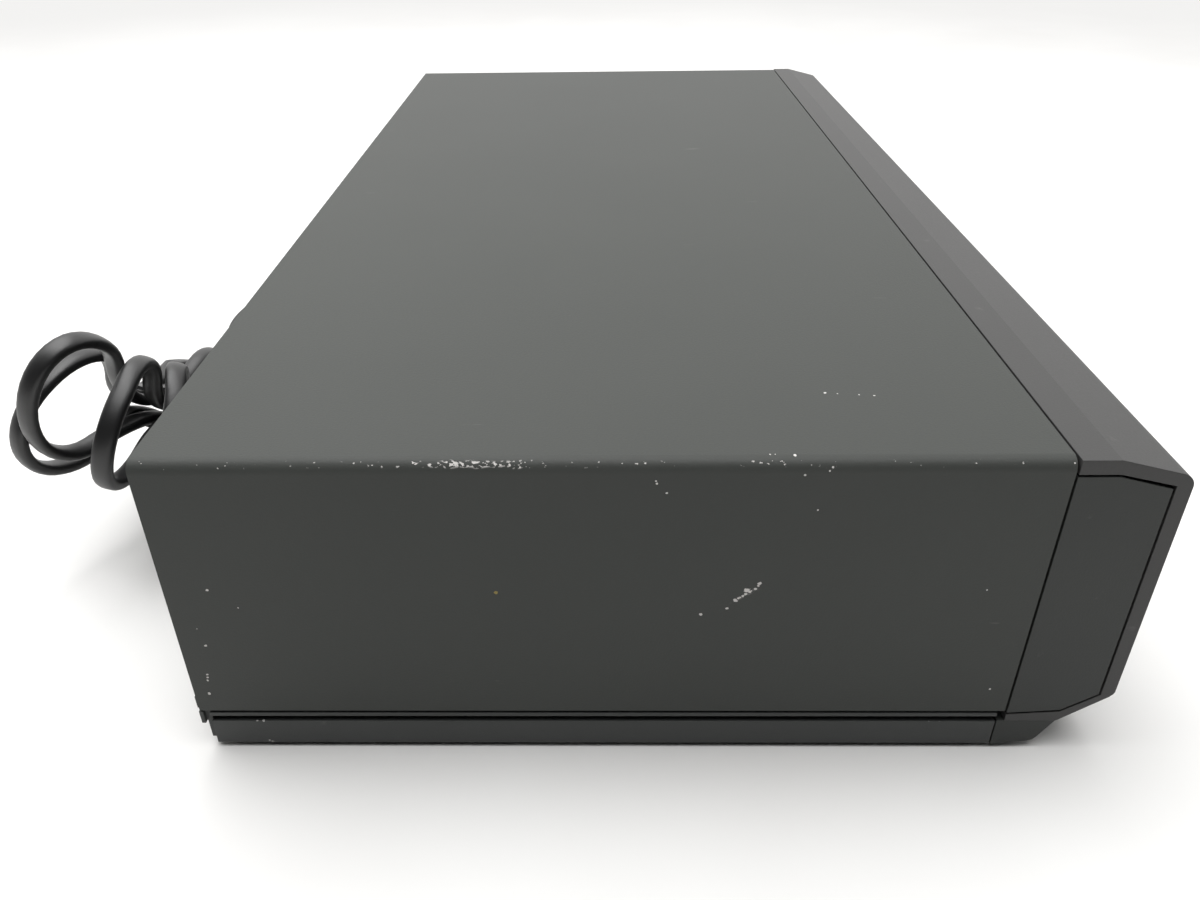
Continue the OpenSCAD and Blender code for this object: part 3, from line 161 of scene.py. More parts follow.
class Finish:
    """A material in the making: its place in space, its noises and its shader."""

    def __init__(self, name):
        self.material = bpy.data.materials.new(name)
        self.material.use_nodes = True
        self.tree = self.material.node_tree
        self.shader = self.tree.nodes["Principled BSDF"]
        self.place = add_node(self.tree, "ShaderNodeTexCoord", {}, output="Object")
        parts = self.tree.nodes.new("ShaderNodeSeparateXYZ")
        self.tree.links.new(self.place.socket, parts.inputs[0])
        self.x, self.y, self.z = [Field(self.tree, out) for out in parts.outputs]

    def stretched(self, sx, sy, sz):
        """The place scaled along each axis, so that a noise read there becomes streaks."""
        return self.place.node("ShaderNodeVectorMath", {0: self.place, 1: (sx, sy, sz)},
                               {"operation": "MULTIPLY"})

    def noise(self, size, detail=2.0, where=None, seed=0.0):
        """Soft noise from 0 to 1 whose blotches are about size metres across."""
        inputs = {"Vector": where or self.place, "W": seed, "Scale": 1 / size, "Detail": detail}
        return self.place.node("ShaderNodeTexNoise", inputs, {"noise_dimensions": "4D"})

    def near(self, point, reach, ragged, size=0.0012):
        """1 within reach of a point, with a ragged rim."""
        apart = self.place.node("ShaderNodeVectorMath", {0: self.place, 1: point},
                                {"operation": "DISTANCE"}, 1)
        return (apart + (self.noise(size, 3.0) - 0.5) * ragged).rise(reach, reach * 0.7)

    def mix(self, share, low, high):
        """A colour between two others."""
        inputs = {"Factor": share, 6: low, 7: high}
        return self.place.node("ShaderNodeMix", inputs, {"data_type": "RGBA"}, 2)

    def bump(self, height, depth, strength=1.0, under=None):
        inputs = {"Height": height, "Distance": depth, "Strength": strength}
        if under:
            inputs["Normal"] = under
        return self.place.node("ShaderNodeBump", inputs)

    def rounded(self, radius):
        """A normal that rounds the hard edges of a moulding by a small radius."""
        return self.place.node("ShaderNodeBevel", {"Radius": radius}, {"samples": 4})

    def finish(self, fixed, **linked):
        """Sets what is the same all over as numbers, and links what changes."""
        for name, value in fixed.items():
            self.shader.inputs[name].default_value = value
        for name, value in linked.items():
            self.tree.links.new(value.socket, self.shader.inputs[name.replace("_", " ")])
        return self.material


def grey(level, warm=0.0):
    """A near grey colour; warm moves it from blue towards yellow."""
    return (level * (1 + warm), level, level * (1 - warm), 1)


# %% [markdown]
# ## Light, floor and background
#
# The object stood on a white cloth in bright, even light. The floor is a pale sheet that keeps the
# shadow. The camera sees plain white in every direction, but what lights the recorder is white only
# ahead of the camera and dim behind it, where the photographer stood, which is why the near side is
# darker than the top. Two large lamps above light the top. Far from the recorder the sheet turns
# plain white for the camera, as a curved studio backdrop does.

# %% World, lamps and floor
scene = bpy.context.scene
scene.view_settings.view_transform = "Standard"
world = bpy.data.worlds.new("room")
scene.world = world
world.use_nodes = True
sky = world.node_tree


def seen_rays(tree):
    """1 for the camera's own rays, and 1 for those that it sends on by a mirror or through glass."""
    rays = tree.nodes.new("ShaderNodeLightPath")
    camera_ray, mirrored, through = [Field(tree, rays.outputs[name]) for name in
                                     ("Is Camera Ray", "Is Glossy Ray", "Is Transmission Ray")]
    return camera_ray, mirrored.either(through)


straight, mirrored = seen_rays(sky)
camera_white = 0.95
room_light = 0.46
backdrop = 0.86
dim_end = 0.05
far_glow = 0.55
ways = sky.nodes.new("ShaderNodeSeparateXYZ")
sky.links.new(sky.nodes.new("ShaderNodeTexCoord").outputs["Generated"], ways.inputs[0])
ahead_of_camera = Field(sky, ways.outputs["X"])
open_side = ahead_of_camera.rise(-0.35, 0.15) * (1 - dim_end) + dim_end
glow = ahead_of_camera.rise(0.2, 0.8) * far_glow
lit = (mirrored * (backdrop - room_light) + room_light) * open_side + glow
sky_level = straight * (camera_white - lit) + lit
sky.nodes["Background"].inputs["Color"].default_value = (1, 0.995, 0.985, 1)
sky.links.new(sky_level.socket, sky.nodes["Background"].inputs["Strength"])


def lamp(name, place, target, size, power):
    data = bpy.data.lights.new(name, "AREA")
    data.shape = "RECTANGLE"
    data.size, data.size_y = size
    data.energy = power
    made = bpy.data.objects.new(name, data)
    scene.collection.objects.link(made)
    made.location = place
    made.rotation_euler = (Vector(target) - Vector(place)).to_track_quat("-Z", "Y").to_euler()


lamp("window", (0.5, 0.7, 1.9), (0, 0, 0), (1.8, 1.2), 27)
lamp("ceiling", (-0.36, -0.2, 2.1), (-0.2, 0, 0), (1.4, 1.6), 37)

bpy.ops.object.select_all(action="DESELECT")
sheet_size = 8
sheet_cells = 60
plain_from, plain_to = 0.7, 1.5
bpy.ops.mesh.primitive_grid_add(x_subdivisions=sheet_cells, y_subdivisions=sheet_cells,
                                size=sheet_size, location=(0, 0, 0))
floor = bpy.context.object
floor.name = "floor_sheet"
cloth = Finish("white cloth")
# The cloth's colour is painted darker in broad blotches: painted shade of folds, on a flat sheet.
fold_shade = cloth.noise(0.3, 2.0) * 0.7 + cloth.noise(0.08, 2.0) * 0.3
cloth_colour = cloth.mix(fold_shade.rise(0.3, 0.7), (0.80, 0.794, 0.782, 1), (0.88, 0.877, 0.866, 1))
cloth.finish({"Roughness": 0.9, "Specular IOR Level": 0.1}, Base_Color=cloth_colour)
centre = cloth.place.node("ShaderNodeVectorMath", {0: cloth.place}, {"operation": "LENGTH"}, 1)
floor_straight, floor_mirrored = seen_rays(cloth.tree)
white = cloth.place.node("ShaderNodeEmission", {"Color": (0.9, 0.895, 0.885, 1)})
share = centre.rise(plain_from, plain_to) * floor_straight.either(floor_mirrored)
lit_cloth = Field(cloth.tree, cloth.shader.outputs[0])
sheet = cloth.place.node("ShaderNodeMixShader", {0: share, 1: lit_cloth, 2: white})
cloth.tree.links.new(sheet.socket, cloth.tree.nodes["Material Output"].inputs["Surface"])
floor.data.materials.append(cloth.material)
print("stage ready")

# %% [markdown]
# ## The flat mains lead
#
# The lead leaves a sleeve low on the rear panel, swings round to the floor, climbs into a hank of
# three and a half loops and runs on to its plug. It is one tube, so it is swept as one mesh: a list of
# centre points, the direction of the width at each, and a flat oval section set across them. The
# loops come from the same formula as the solid they stand for: two gentle inward bends that meet at
# the waist, with a round end beyond each.

# %% The lead's sizes in millimetres and the shape of a loop
cord_w = 6.2
cord_t = 3.8
hank_loops = 3
hank_bend = 18.6
hank_pitch = 7.0
hank_fan = 52
right_spread = 5.0
waist_v = 2.6
right_reach = 44.0
left_reach = [30, 32, 40, 28]
left_bend = [hank_fan * share for share in (-0.62, -0.23, 0.17, 0.38)]
left_twist = [2, -3, -16, -8]
left_rise = [0, -1, 5, -2]
hank_centre = Vector((-106, 258, 42.4))
hank_v = Vector((0.42, -0.25, 0.87)).normalized()
hank_turn = math.radians(86)
backward = (Vector((0, 1, 0)) - hank_v.y * hank_v).normalized()
hank_u = math.cos(hank_turn) * backward + math.sin(hank_turn) * hank_v.cross(backward)
hank_n = hank_u.cross(hank_v)
crossing_from, crossing_share = 0.3, 0.4
straight_bend = 1e-5


def half_loop(share, reach):
    """How far along and across the hank a point lies, at a share of half a loop's length."""
    wide = (reach**2 + waist_v**2 - hank_bend**2) / (2 * (hank_bend - waist_v))
    lean = math.asin(reach / (hank_bend + wide))
    run = wide * lean
    tip = hank_bend * (math.pi + 2 * lean)
    length = share * (2 * run + tip)
    if run < length < run + tip:
        angle = (length - run) / hank_bend - math.pi / 2 - lean
        return reach + hank_bend * math.cos(angle), hank_bend * math.sin(angle)
    turned = min(length, 2 * run + tip - length) / wide
    side = -1 if length <= run else 1
    return wide * math.sin(turned), side * (waist_v + wide - wide * math.cos(turned))


def by_layer(values, layer):
    """A value between those of two neighbouring loops."""
    place = min(hank_loops, max(0, layer + hank_loops))
    low = min(hank_loops - 1, math.floor(place))
    return values[low] + (values[low + 1] - values[low]) * (place - low)


def hank_at(turn_count):
    """A point of the hank and the direction of the lead's width there, in millimetres."""
    whole = math.floor(turn_count)
    share = turn_count - whole
    left = share < 0.5
    side = 1 if left else -1
    reach = left_reach[whole] if left else right_reach
    along, across = half_loop(2 * share if left else 2 * share - 1, reach)
    layer = whole + min(1, max(0, (share - crossing_from) / crossing_share)) - hank_loops
    fan = by_layer(left_bend, layer) if left else right_spread * layer
    twist = math.radians(by_layer(left_twist, layer)) * min(1, along / reach) if left else 0
    rise = by_layer(left_rise, layer) * (along / reach) ** 2 if left else 0
    bend = math.radians(fan) / (reach + hank_bend)
    angle = bend * along
    radius = 0 if abs(bend) < straight_bend else 1 / bend
    offset = layer * hank_pitch + across * math.sin(twist)
    forward = (radius * math.sin(angle) if radius else along) - offset * math.sin(angle)
    upward = across * math.cos(twist) + rise
    sideways = radius * (1 - math.cos(angle)) + offset * math.cos(angle)
    point = hank_centre + side * (forward * hank_u + upward * hank_v) + sideways * hank_n
    width = math.cos(angle) * hank_n - side * math.sin(angle) * hank_u
    return point, math.cos(twist) * width - side * math.sin(twist) * hank_v


# %% The whole route, from the sleeve through the hank to the plug
relief_end = (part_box("strain_relief")[1].y - seam_y) / MM
lead_start = Vector((6, relief_end, 34))
lead_points = [(6, 234, 34), (3.8, 244.3, 33), (-2.4, 252.8, 31), (-11.5, 257.5, 27.5), (-22, 257.5, 23),
               (-32, 253.5, 18), (-40, 246, 13), (-46.5, 237, 9), (-53, 230, 6.2), (-61, 227, 4.4),
               (-70, 227.4, 3.6), (-78.5, 230.6, 4.6)]
lead_upright = 9
tail_points = [(-65.5, 258, 37), (-58, 258.4, 32.5), (-52.5, 259.6, 26.5), (-48, 261.2, 20),
               (-41, 261.8, 14), (-33.5, 259.6, 10), (-26, 256, 7.6), (-18, 253.2, 6.9)]
plug_start = Vector((-10, 252, 6.85))
steps_per_loop = 96
overrun = 2 / 24
hank_from = -overrun
hank_to = hank_loops + 0.5 + overrun
inside_sleeve = 4
inside_plug = 6


def smooth(knots, step=2.0):
    """Catmull-Rom curve through points with their width directions, with a ring every step mm."""
    made = []
    for k in range(len(knots) - 1):
        p0, p1, p2, p3 = [knots[min(max(k + d, 0), len(knots) - 1)] for d in (-1, 0, 1, 2)]
        count = max(2, round((p2[0] - p1[0]).length / step))
        for i in range(count):
            t = i / count
            point = 0.5 * (2 * p1[0] + (p2[0] - p0[0]) * t
                           + (2 * p0[0] - 5 * p1[0] + 4 * p2[0] - p3[0]) * t * t
                           + (3 * p1[0] - 3 * p2[0] + p3[0] - p0[0]) * t**3)
            made.append((point, p1[1].lerp(p2[1], t).normalized()))
    return made


first = round(hank_from * steps_per_loop)
last = round(hank_to * steps_per_loop)
hank = [hank_at(i / steps_per_loop) for i in range(first, last + 1)]
entry = hank[0][0] - (hank[1][0] - hank[0][0]).normalized() * cord_w
leave = hank[-1][0] + (hank[-1][0] - hank[-2][0]).normalized() * cord_w
upright = Vector((0, 0, 1))
leaning = [Vector(w) for w in ((0.1, 0.4, 0.8), (0.1, 0.7, 0.6), (0.2, 0.9, 0.3))]
widths = [upright] * lead_upright + leaning
sleeve_point = lead_start - Vector((0, inside_sleeve, 0))
lead = [(sleeve_point, upright), (lead_start, upright)]
lead += list(zip(map(Vector, lead_points), widths))
lead += [(entry, hank[0][1])]
flat_width = Vector((0, 1, 0.1)).normalized()
tail = [(leave, hank[-1][1])] + [(Vector(p), flat_width) for p in tail_points]
tail += [(plug_start, flat_width), (plug_start + Vector((inside_plug, 0, 0)), flat_width)]
route = smooth(lead) + hank + smooth(tail) + [tail[-1]]


def length_of(points):
    return sum((b - a).length for a, b in zip(points, points[1:]))


cord_length = length_of([p for p, w in route]) * MM
print("lead", round(cord_length, 3), "m,", len(route), "rings")

# %% [markdown]
# ## Modelling tools for the small pieces
#
# The plug's bare pin ends are short rods and the signs on the keys are low prisms, so both are
# modelled as by hand: a cylinder with few or many sides is added where it belongs, then turned,
# stretched, hollowed and softened in edit mode.


# %% A softened prism along an axis, and joining several
def prism(sides, radius, depth, place, axis, soft, turn=0.0, stretch=(1, 1), hollow=0.0):
    """A prism centred on place along X or Y, with softened edges; hollow is the wall it is left with."""
    bpy.ops.object.select_all(action="DESELECT")
    lean = (0, math.pi / 2, 0) if axis == "X" else (math.pi / 2, 0, 0)
    bpy.ops.mesh.primitive_cylinder_add(vertices=sides, radius=radius, depth=depth,
                                        location=place, rotation=lean)
    made = bpy.context.object
    bpy.ops.object.transform_apply(location=True, rotation=True, scale=True)
    bpy.ops.object.mode_set(mode="EDIT")
    bpy.ops.mesh.select_all(action="SELECT")
    bpy.ops.transform.rotate(value=turn, orient_axis=axis, center_override=place)
    bpy.ops.transform.resize(value=(stretch[0], 1, stretch[1]), center_override=place)
    if hollow:
        hollow_out(made, hollow)
    bpy.ops.mesh.select_all(action="SELECT")
    bpy.ops.mesh.bevel(offset=soft, segments=2, affect="EDGES")
    bpy.ops.mesh.select_all(action="SELECT")
    bpy.ops.mesh.normals_make_consistent(inside=False)
    bpy.ops.object.mode_set(mode="OBJECT")
    bpy.ops.object.shade_smooth_by_angle(angle=math.radians(35))
    return made


def hollow_out(made, wall):
    """Opens a hole through a prism that faces the front, leaving a wall round it."""
    bpy.ops.mesh.select_mode(type="FACE")
    sheet = bmesh.from_edit_mesh(made.data)
    for face in sheet.faces:
        face.select = abs(face.normal.y) > 0.9
    bmesh.update_edit_mesh(made.data)
    bpy.ops.mesh.inset(thickness=wall)
    bpy.ops.mesh.delete(type="FACE")
    bpy.ops.mesh.select_mode(type="EDGE")
    bpy.ops.mesh.select_all(action="DESELECT")
    bpy.ops.mesh.select_non_manifold()
    bpy.ops.mesh.bridge_edge_loops()


def joined(name, pieces):
    """One piece out of several, at the origin."""
    bpy.ops.object.select_all(action="DESELECT")
    for piece in pieces:
        piece.select_set(True)
    bpy.context.view_layer.objects.active = pieces[0]
    if len(pieces) > 1:
        bpy.ops.object.join()
    pieces[0].name = pieces[0].data.name = name
    bpy.ops.object.transform_apply(location=True, rotation=True, scale=True)
    return pieces[0]


# %% The plug's bare pin ends
pin_apart = 19
pin_middle = 70.6
pin_radius = 2.07
pin_length = 9.1
pin_soft = 0.5
pin_ends = []
for side in (-1, 1):
    tip = at(*(plug_start + Vector((pin_middle, side * pin_apart / 2, 0))))
    pin_ends.append(prism(24, pin_radius * MM, pin_length * MM, tip, "X", pin_soft * MM))
plug_pins = joined("plug_pins", pin_ends)
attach(plug_pins, "deck")
print("pins", len(plug_pins.data.polygons), "faces")

# %% Sweep the flat oval section along the route
section_steps = 20
roundness = 2.7


def oval(angle):
    c, s = math.cos(angle), math.sin(angle)
    return (math.copysign(abs(c) ** (2 / roundness), c) * cord_w / 2,
            math.copysign(abs(s) ** (2 / roundness), s) * cord_t / 2)


section = [oval(2 * math.pi * k / section_steps) for k in range(section_steps)]
corners = []
for i, (point, width) in enumerate(route):
    ahead = route[min(i + 1, len(route) - 1)][0] - route[max(i - 1, 0)][0]
    ahead.normalize()
    across = (width - width.dot(ahead) * ahead).normalized()
    up = ahead.cross(across)
    corners += [at(*(point + a * across + b * up)) for a, b in section]
rings = len(route)
faces = [[i * section_steps + k, i * section_steps + (k + 1) % section_steps,
          (i + 1) * section_steps + (k + 1) % section_steps, (i + 1) * section_steps + k]
         for i in range(rings - 1) for k in range(section_steps)]
faces += [list(range(section_steps - 1, -1, -1)),
          list(range((rings - 1) * section_steps, rings * section_steps))]
cord_mesh = bpy.data.meshes.new("mains_lead")
cord_mesh.from_pydata(corners, [], faces)
cord_mesh.update()
cord_mesh.shade_smooth()
cord = bpy.data.objects.new("mains_lead", cord_mesh)
scene.collection.objects.link(cord)

vinyl = Finish("soft black vinyl")
drawn = vinyl.noise(0.0006, 2.0) * 0.6 + vinyl.noise(0.008, 2.0) * 0.4
dust = vinyl.noise(0.003, 4.0).rise(0.62, 0.8)
vinyl_colour = vinyl.mix(dust * 0.4, (0.007, 0.007, 0.0075, 1), (0.04, 0.039, 0.037, 1))
soft_vinyl = vinyl.finish({"Specular IOR Level": 0.6}, Base_Color=vinyl_colour,
                          Roughness=drawn * 0.16 + 0.34, Normal=vinyl.bump(drawn, 0.00004, 0.6))
cord.data.materials.append(soft_vinyl)
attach(cord, "deck")
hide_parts("mains_cord", "mains_hank", "mains_tail")
at(*lead_start)
[at(*p) for p, w in route]
print("lead swept,", len(cord_mesh.vertices), "corners")

# %% [markdown]
# ## The cover's paint
#
# The cover is sheet steel with a satin, faintly green dark grey paint. Close up it has a fine
# orange-peel grain. Years of handling chipped it to bright metal along the near top edge and the
# corners, and left a few specks and rubbed scratches, so those places are named one by one.

# %% Cover paint with its chips, specks and scratches
paint = Finish("satin cover paint")
grain = paint.noise(0.00055, 2.0)
mottle = paint.noise(0.05, 3.0)
edge_x, edge_z = -case_half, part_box("top_cover")[1].z
from_edge = (paint.x - edge_x).either(edge_z - paint.z)
wander = paint.noise(0.005, 3.0, seed=9.0) - 0.5
wander_reach = 1.6 * MM
edge_rim, edge_full = 1.7 * MM, 1.1 * MM
on_edge = (from_edge + wander * wander_reach).rise(edge_rim, edge_full)


def along_edge(s_low, s_high, fade=3.0):
    """1 between two places along the depth, fading over a few millimetres."""
    low, high = [s * MM + seam_y for s in (s_low, s_high)]
    soft = fade * MM
    return paint.y.rise(low - soft, low + soft) * paint.y.rise(high + soft, high - soft)


flakes = paint.noise(0.0007, 3.0, paint.stretched(1, 0.7, 1), 1.3)
dense = along_edge(118, 138) * 0.08 + along_edge(112, 143) * 0.045 + along_edge(60, 190) * 0.02 - 0.03
chips = on_edge * (flakes + dense).rise(0.64, 0.66)
on_side, on_top = -case_half / MM, edge_z / MM
spots = [((on_side, s, z), reach) for s, z, reach in (
    (53.3, 86.4, 0.3), (52.6, 86.7, 0.28), (52, 86.5, 0.45), (51.3, 86.7, 0.4), (50.4, 86.6, 0.35),
    (52.6, 85.6, 0.25), (57.8, 84.6, 0.3), (54, 75.4, 0.22), (89.7, 83.2, 0.25), (89.5, 82.5, 0.25),
    (87.3, 80, 0.3), (65, 54.6, 0.55), (65.3, 54, 0.35), (65.9, 53.1, 0.35), (66.8, 52.5, 0.25),
    (67.8, 52.7, 0.75), (67.2, 52.2, 0.4), (68, 51.6, 0.4), (68.7, 50.9, 0.35), (69.2, 50.5, 0.3),
    (69.7, 50.2, 0.35), (70.3, 49.7, 0.55), (72.2, 47.2, 0.4), (78.2, 45.3, 0.45), (193.9, 53, 0.4),
    (199, 40.9, 0.2), (198.1, 35.5, 0.35), (199.8, 25.8, 0.3), (199.9, 24.8, 0.35), (200.1, 23.8, 0.3),
    (200.7, 19.3, 0.45), (187.7, 47.5, 0.2), (12.5, 52.7, 0.25), (5.3, 20.9, 0.25))]
spots += [((on_side + x, s, on_top), reach) for x, s, reach in (
    (0.7, 109.7, 0.55), (0.6, 108.7, 0.6), (0.2, 107.8, 0.6), (2.7, 59.8, 0.4), (3, 65.1, 0.22),
    (3.1, 64, 0.2), (0.6, 98.6, 0.4), (0.6, 147.1, 0.6), (0.8, 148.6, 0.4), (0.5, 203.8, 0.7),
    (0.4, 203, 0.4), (30.6, 47.9, 0.4), (30.2, 45, 0.25), (29.6, 40, 0.25), (29.2, 36.5, 0.3))]
rim_grain = 0.6 * MM
bare = chips
for place, reach in spots:
    bare = bare.either(paint.near(at(*place), reach * MM, reach * MM * 2, rim_grain))
stain = paint.near(at(on_side, 126.2, 52), 0.5 * MM, 1.0 * MM, rim_grain)
rub_place = at(on_side, 68.3, 51.2)
rub_angle = math.radians(-35)
rub_y, rub_z = paint.y - rub_place.y, paint.z - rub_place.z
along_rub = rub_y * math.cos(rub_angle) + rub_z * math.sin(rub_angle)
off_rub = rub_z * math.cos(rub_angle) - rub_y * math.sin(rub_angle)
rub_lines = paint.noise(0.0009, 3.0, seed=4.0).rise(0.5, 0.62)
rub = abs(along_rub).rise(0.0045, 0.002) * abs(off_rub).rise(0.0008, 0.0002) * rub_lines * 0.5
hair = paint.noise(0.003, 3.0, paint.stretched(1, 0.12, 0.5), 7.0).rise(0.735, 0.76) * 0.2
paint_base = paint.mix(mottle, (0.047, 0.0505, 0.047, 1), (0.053, 0.0565, 0.0525, 1))
scuffed = paint.mix(hair.either(rub), paint_base, grey(0.22, 0.02))
cover_colour = paint.mix(bare, paint.mix(stain, scuffed, (0.3, 0.24, 0.07, 1)), grey(0.6, 0.03))
height = grain * (1 - bare)
cover_paint = paint.finish({"Specular IOR Level": 0.24}, Base_Color=cover_colour,
                           Roughness=(grain - 0.5) * 0.12 + 0.54 - bare * 0.05,
                           Normal=paint.bump(height, 0.00012, 0.55))
print("cover paint has", len(spots), "named chips")

# %% [markdown]
# ## Mouldings
#
# The front panel, cheeks, tray and keys are spark-eroded plastic: a fine, even grain that kills
# gloss, a touch more sheen where fingers rub, and specks of pale dust all over. One function makes
# them all, with its colour, its gloss and the size of its grain.


# %% Moulded plastics
def moulded(name, low, high, rough, grain_size=0.0005, depth=0.00008, edge=0.0003, worn=None):
    made = Finish(name)
    fine = made.noise(grain_size, 2.0)
    broad = made.noise(0.035, 3.0)
    dust = made.noise(0.006, 5.0).rise(0.66, 0.8) * 0.25
    colour = made.mix(broad, low, high)
    colour = made.mix(dust, colour, grey(0.2, 0.03))
    if worn:
        colour = made.mix(worn(made), colour, grey(0.5, 0.02))
    normal = made.bump(fine, depth, 0.5, made.rounded(edge))
    return made.finish({"Specular IOR Level": 0.32}, Base_Color=colour,
                       Roughness=(fine - 0.5) * 0.12 + rough, Normal=normal)


def rail_wear(made):
    """Specks along the tray's rail and the base's lower edge."""
    found = None
    for s, z, reach in ((190.4, 9.6, 0.35), (188.8, 9.6, 0.45), (19.5, 10, 0.3), (18.6, 10, 0.5),
                        (17, 10, 0.35), (15.7, 9.9, 0.4), (9.9, 10, 0.25), (187.8, 1.8, 0.4),
                        (188.5, 2.3, 0.3)):
        mark = made.near(at(on_side, s, z), reach * MM, reach * MM * 2, rim_grain)
        found = mark if found is None else found.either(mark)
    return found


front_plastic = moulded("front panel moulding", grey(0.047, 0.01), grey(0.054, 0.01), 0.52)
cheek_plastic = moulded("cheek moulding", (0.032, 0.035, 0.033, 1), (0.038, 0.041, 0.0385, 1), 0.55)
tray_plastic = moulded("tray moulding", (0.05, 0.053, 0.052, 1), (0.058, 0.061, 0.06, 1), 0.55,
                       worn=rail_wear)
key_plastic = moulded("key moulding", grey(0.06), grey(0.072), 0.4)
socket_plastic = moulded("socket moulding", grey(0.016), grey(0.024), 0.42)
foot_rubber = moulded("foot rubber", grey(0.018), grey(0.03), 0.75, 0.0009, 0.0001)
acetal = moulded("natural acetal", (0.72, 0.71, 0.66, 1), (0.8, 0.79, 0.74, 1), 0.35, 0.0012, 0.00003)

# %% [markdown]
# ## Metals, boards and glass
#
# Plated steel shows faint rolling streaks along the sheet, turned aluminium shows rings, and the
# boards show their lacquer over copper tracks. Apart from the sockets and screws at the back, and the
# window in front, these are seen only past the open cassette door.


# %% Metals
def metal(name, low, high, rough, streaks=(1, 1, 30), streak_size=0.02):
    made = Finish(name)
    lines = made.noise(streak_size, 3.0, made.stretched(*streaks))
    spots = made.noise(0.012, 4.0)
    colour = made.mix(lines * 0.6 + spots * 0.4, low, high)
    return made.finish({"Metallic": 1.0}, Base_Color=colour, Roughness=lines * 0.2 + rough,
                       Normal=made.bump(lines, 0.00003, 0.4))


plated_steel = metal("zinc plated steel", (0.5, 0.5, 0.46, 1), (0.62, 0.61, 0.57, 1), 0.28, (6, 60, 60))
tin_plate = metal("tin plate", (0.56, 0.56, 0.54, 1), (0.68, 0.68, 0.66, 1), 0.22, (1, 8, 1), 0.01)
turned_aluminium = metal("turned aluminium", (0.68, 0.68, 0.69, 1), (0.78, 0.78, 0.79, 1), 0.18,
                         (1, 1, 90))
bearing_bronze = metal("bearing bronze", (0.5, 0.36, 0.18, 1), (0.62, 0.46, 0.25, 1), 0.3, (1, 1, 60))
black_zinc = metal("black zinc", (0.03, 0.03, 0.032, 1), (0.06, 0.06, 0.062, 1), 0.38, (20, 20, 20))


# %% Boards, winding and glass
lane_count = 9


def board(name, resin, track):
    made = Finish(name)
    weave = made.noise(0.0015, 1.0)
    lanes = made.noise(0.012, 0.0, made.stretched(1, 0.2, 1), 2.0)
    tracks = abs((lanes * lane_count).through("FRACT") - 0.5).rise(0.32, 0.36)
    colour = made.mix(tracks, resin, track)
    return made.finish({"Coat Weight": 0.4, "Coat Roughness": 0.2}, Base_Color=colour,
                       Roughness=weave * 0.1 + 0.4, Normal=made.bump(tracks, 0.00004, 0.6))


green_board = board("green lacquered board", (0.02, 0.11, 0.05, 1), (0.035, 0.17, 0.08, 1))
brown_board = board("brown paper board", (0.3, 0.17, 0.07, 1), (0.42, 0.28, 0.14, 1))

turns = Finish("varnished winding")
wires = abs((turns.z * 2500).through("SINE"))
winding = turns.finish({"Coat Weight": 0.5},
                       Base_Color=turns.mix(wires, (0.1, 0.03, 0.015, 1), (0.3, 0.13, 0.05, 1)),
                       Roughness=wires * 0.1 + 0.3, Normal=turns.bump(wires, 0.0001, 0.8))

smoke = Finish("smoked window")
smears = smoke.noise(0.02, 4.0)
smoke_colour = smoke.mix(smears, (0.006, 0.006, 0.007, 1), (0.012, 0.012, 0.014, 1))
window_plastic = smoke.finish({"Specular IOR Level": 0.6, "Coat Weight": 0.3},
                              Base_Color=smoke_colour, Roughness=smears * 0.08 + 0.06)
tube = Finish("display tube glass")
mesh_lines = abs((tube.x * 900).through("SINE")).rise(0.7, 0.9)
display_glass = tube.finish({"Coat Weight": 1.0, "Coat Roughness": 0.05},
                            Base_Color=tube.mix(mesh_lines, (0.05, 0.09, 0.085, 1), (0.22, 0.3, 0.28, 1)),
                            Roughness=mesh_lines * 0.2 + 0.25)

# %% Give each solid part its finish
finishes = {"cover_paint": cover_paint, "front_plastic": front_plastic, "cheek_plastic": cheek_plastic,
            "tray_plastic": tray_plastic, "button_plastic": key_plastic, "window_plastic": window_plastic,
            "display_glass": display_glass, "green_board": green_board, "brown_board": brown_board,
            "plated_steel": plated_steel, "dark_steel": black_zinc, "drum_aluminium": turned_aluminium,
            "brass": bearing_bronze, "rubber": foot_rubber, "white_plastic": acetal,
            "socket_plastic": socket_plastic, "tin_plate": tin_plate, "winding": winding,
            "cord_vinyl": soft_vinyl}
for part in frame["record"]["subparts"]:
    solid = nodes[part["node"]]
    for material_slot in solid.material_slots:
        material_slot.material = finishes[part["material_slot"]]
plug_pins.data.materials.append(tin_plate)
print(len(finishes), "finishes on", len(nodes), "parts")

# %% [markdown]
# ## Signs on the keys
#
# The keys carry the usual transport signs and no words. On the real keys they are pad-printed: a
# layer of pale ink about a tenth of a millimetre thick with a soft rim. Each sign is a low prism or
# two on the key's face, and rides with its key.

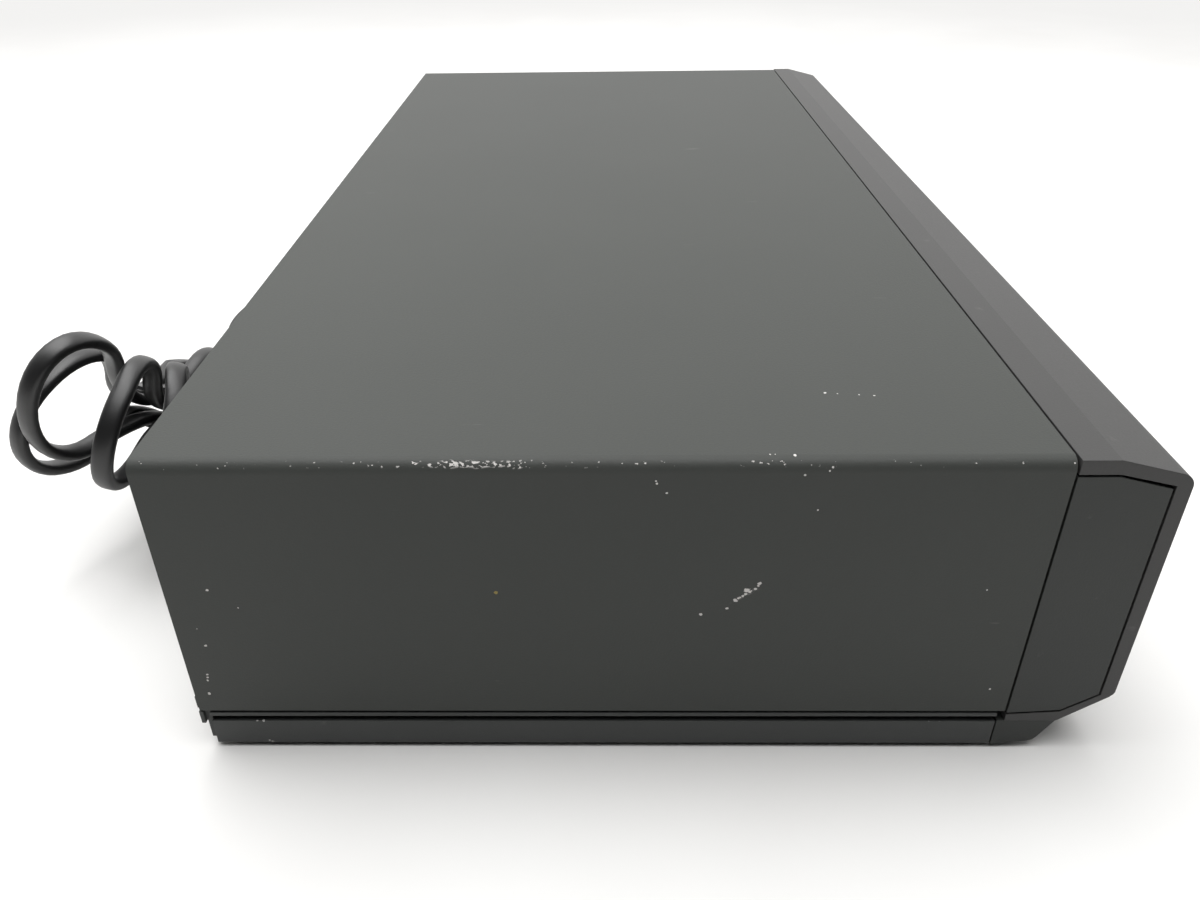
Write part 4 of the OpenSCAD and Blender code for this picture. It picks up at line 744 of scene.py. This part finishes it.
# %% Print the signs
ink = moulded("pale pad print", grey(0.42), grey(0.5), 0.5, 0.0004, 0.00001)
ink_high = 0.12 * MM
ink_soft = 0.03 * MM
ink_sunk = 0.02 * MM
quarter = math.pi / 4


def sign(key, body, shapes):
    """Prints shapes on a key, each given by its sides, radius, offsets, turn, stretch and wall, in mm."""
    low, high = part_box(key)
    face_y = low.y + ink_sunk
    printed = []
    for sides, radius, dx, dz, turn, stretch, wall in shapes:
        place = Vector(((low.x + high.x) / 2 + dx * MM, face_y, (low.z + high.z) / 2 + dz * MM))
        printed.append(prism(sides, radius * MM, ink_high * 2, place, "Y", ink_soft,
                             turn, stretch, wall * MM))
    piece = joined(key + "_sign", printed)
    piece.data.materials.append(ink)
    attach(piece, body)


def bar_sign(wide, high, dx=0.0, dz=0.0):
    side = math.sqrt(0.5)
    return 4, 1, dx, dz, quarter, (wide * side, high * side), 0


def arrow(radius, dx, turn):
    return 3, radius, dx, 0, turn, (1, 1), 0


right, left, upwards = -math.pi / 2, math.pi / 2, 0
sign("power_button", "power_key", [(32, 1.4, 0, 0, 0, (1, 1), 0.36), bar_sign(0.4, 1.7, 0, 1.1)])
sign("eject_button", "eject_key", [(3, 1.3, 0, 0.5, upwards, (1.2, 0.9), 0), bar_sign(2.6, 0.5, 0, -0.9)])
sign("rewind_button", "rewind_key", [arrow(1.2, -0.85, left), arrow(1.2, 0.95, left)])
sign("play_button", "play_key", [arrow(1.4, 0, right)])
sign("fast_forward_button", "fast_forward_key", [arrow(1.2, -0.95, right), arrow(1.2, 0.85, right)])
sign("stop_button", "stop_key", [bar_sign(2.1, 2.1)])
sign("pause_button", "pause_key", [bar_sign(0.6, 2.1, -0.6), bar_sign(0.6, 2.1, 0.6)])
sign("record_button", "record_key", [(32, 1.1, 0, 0, 0, (1, 1), 0)])
sign("channel_rocker", "rocker", [bar_sign(1.9, 0.4, -6), bar_sign(1.9, 0.4, 6), bar_sign(0.4, 1.9, 6)])
print("eight keys and the rocker printed")
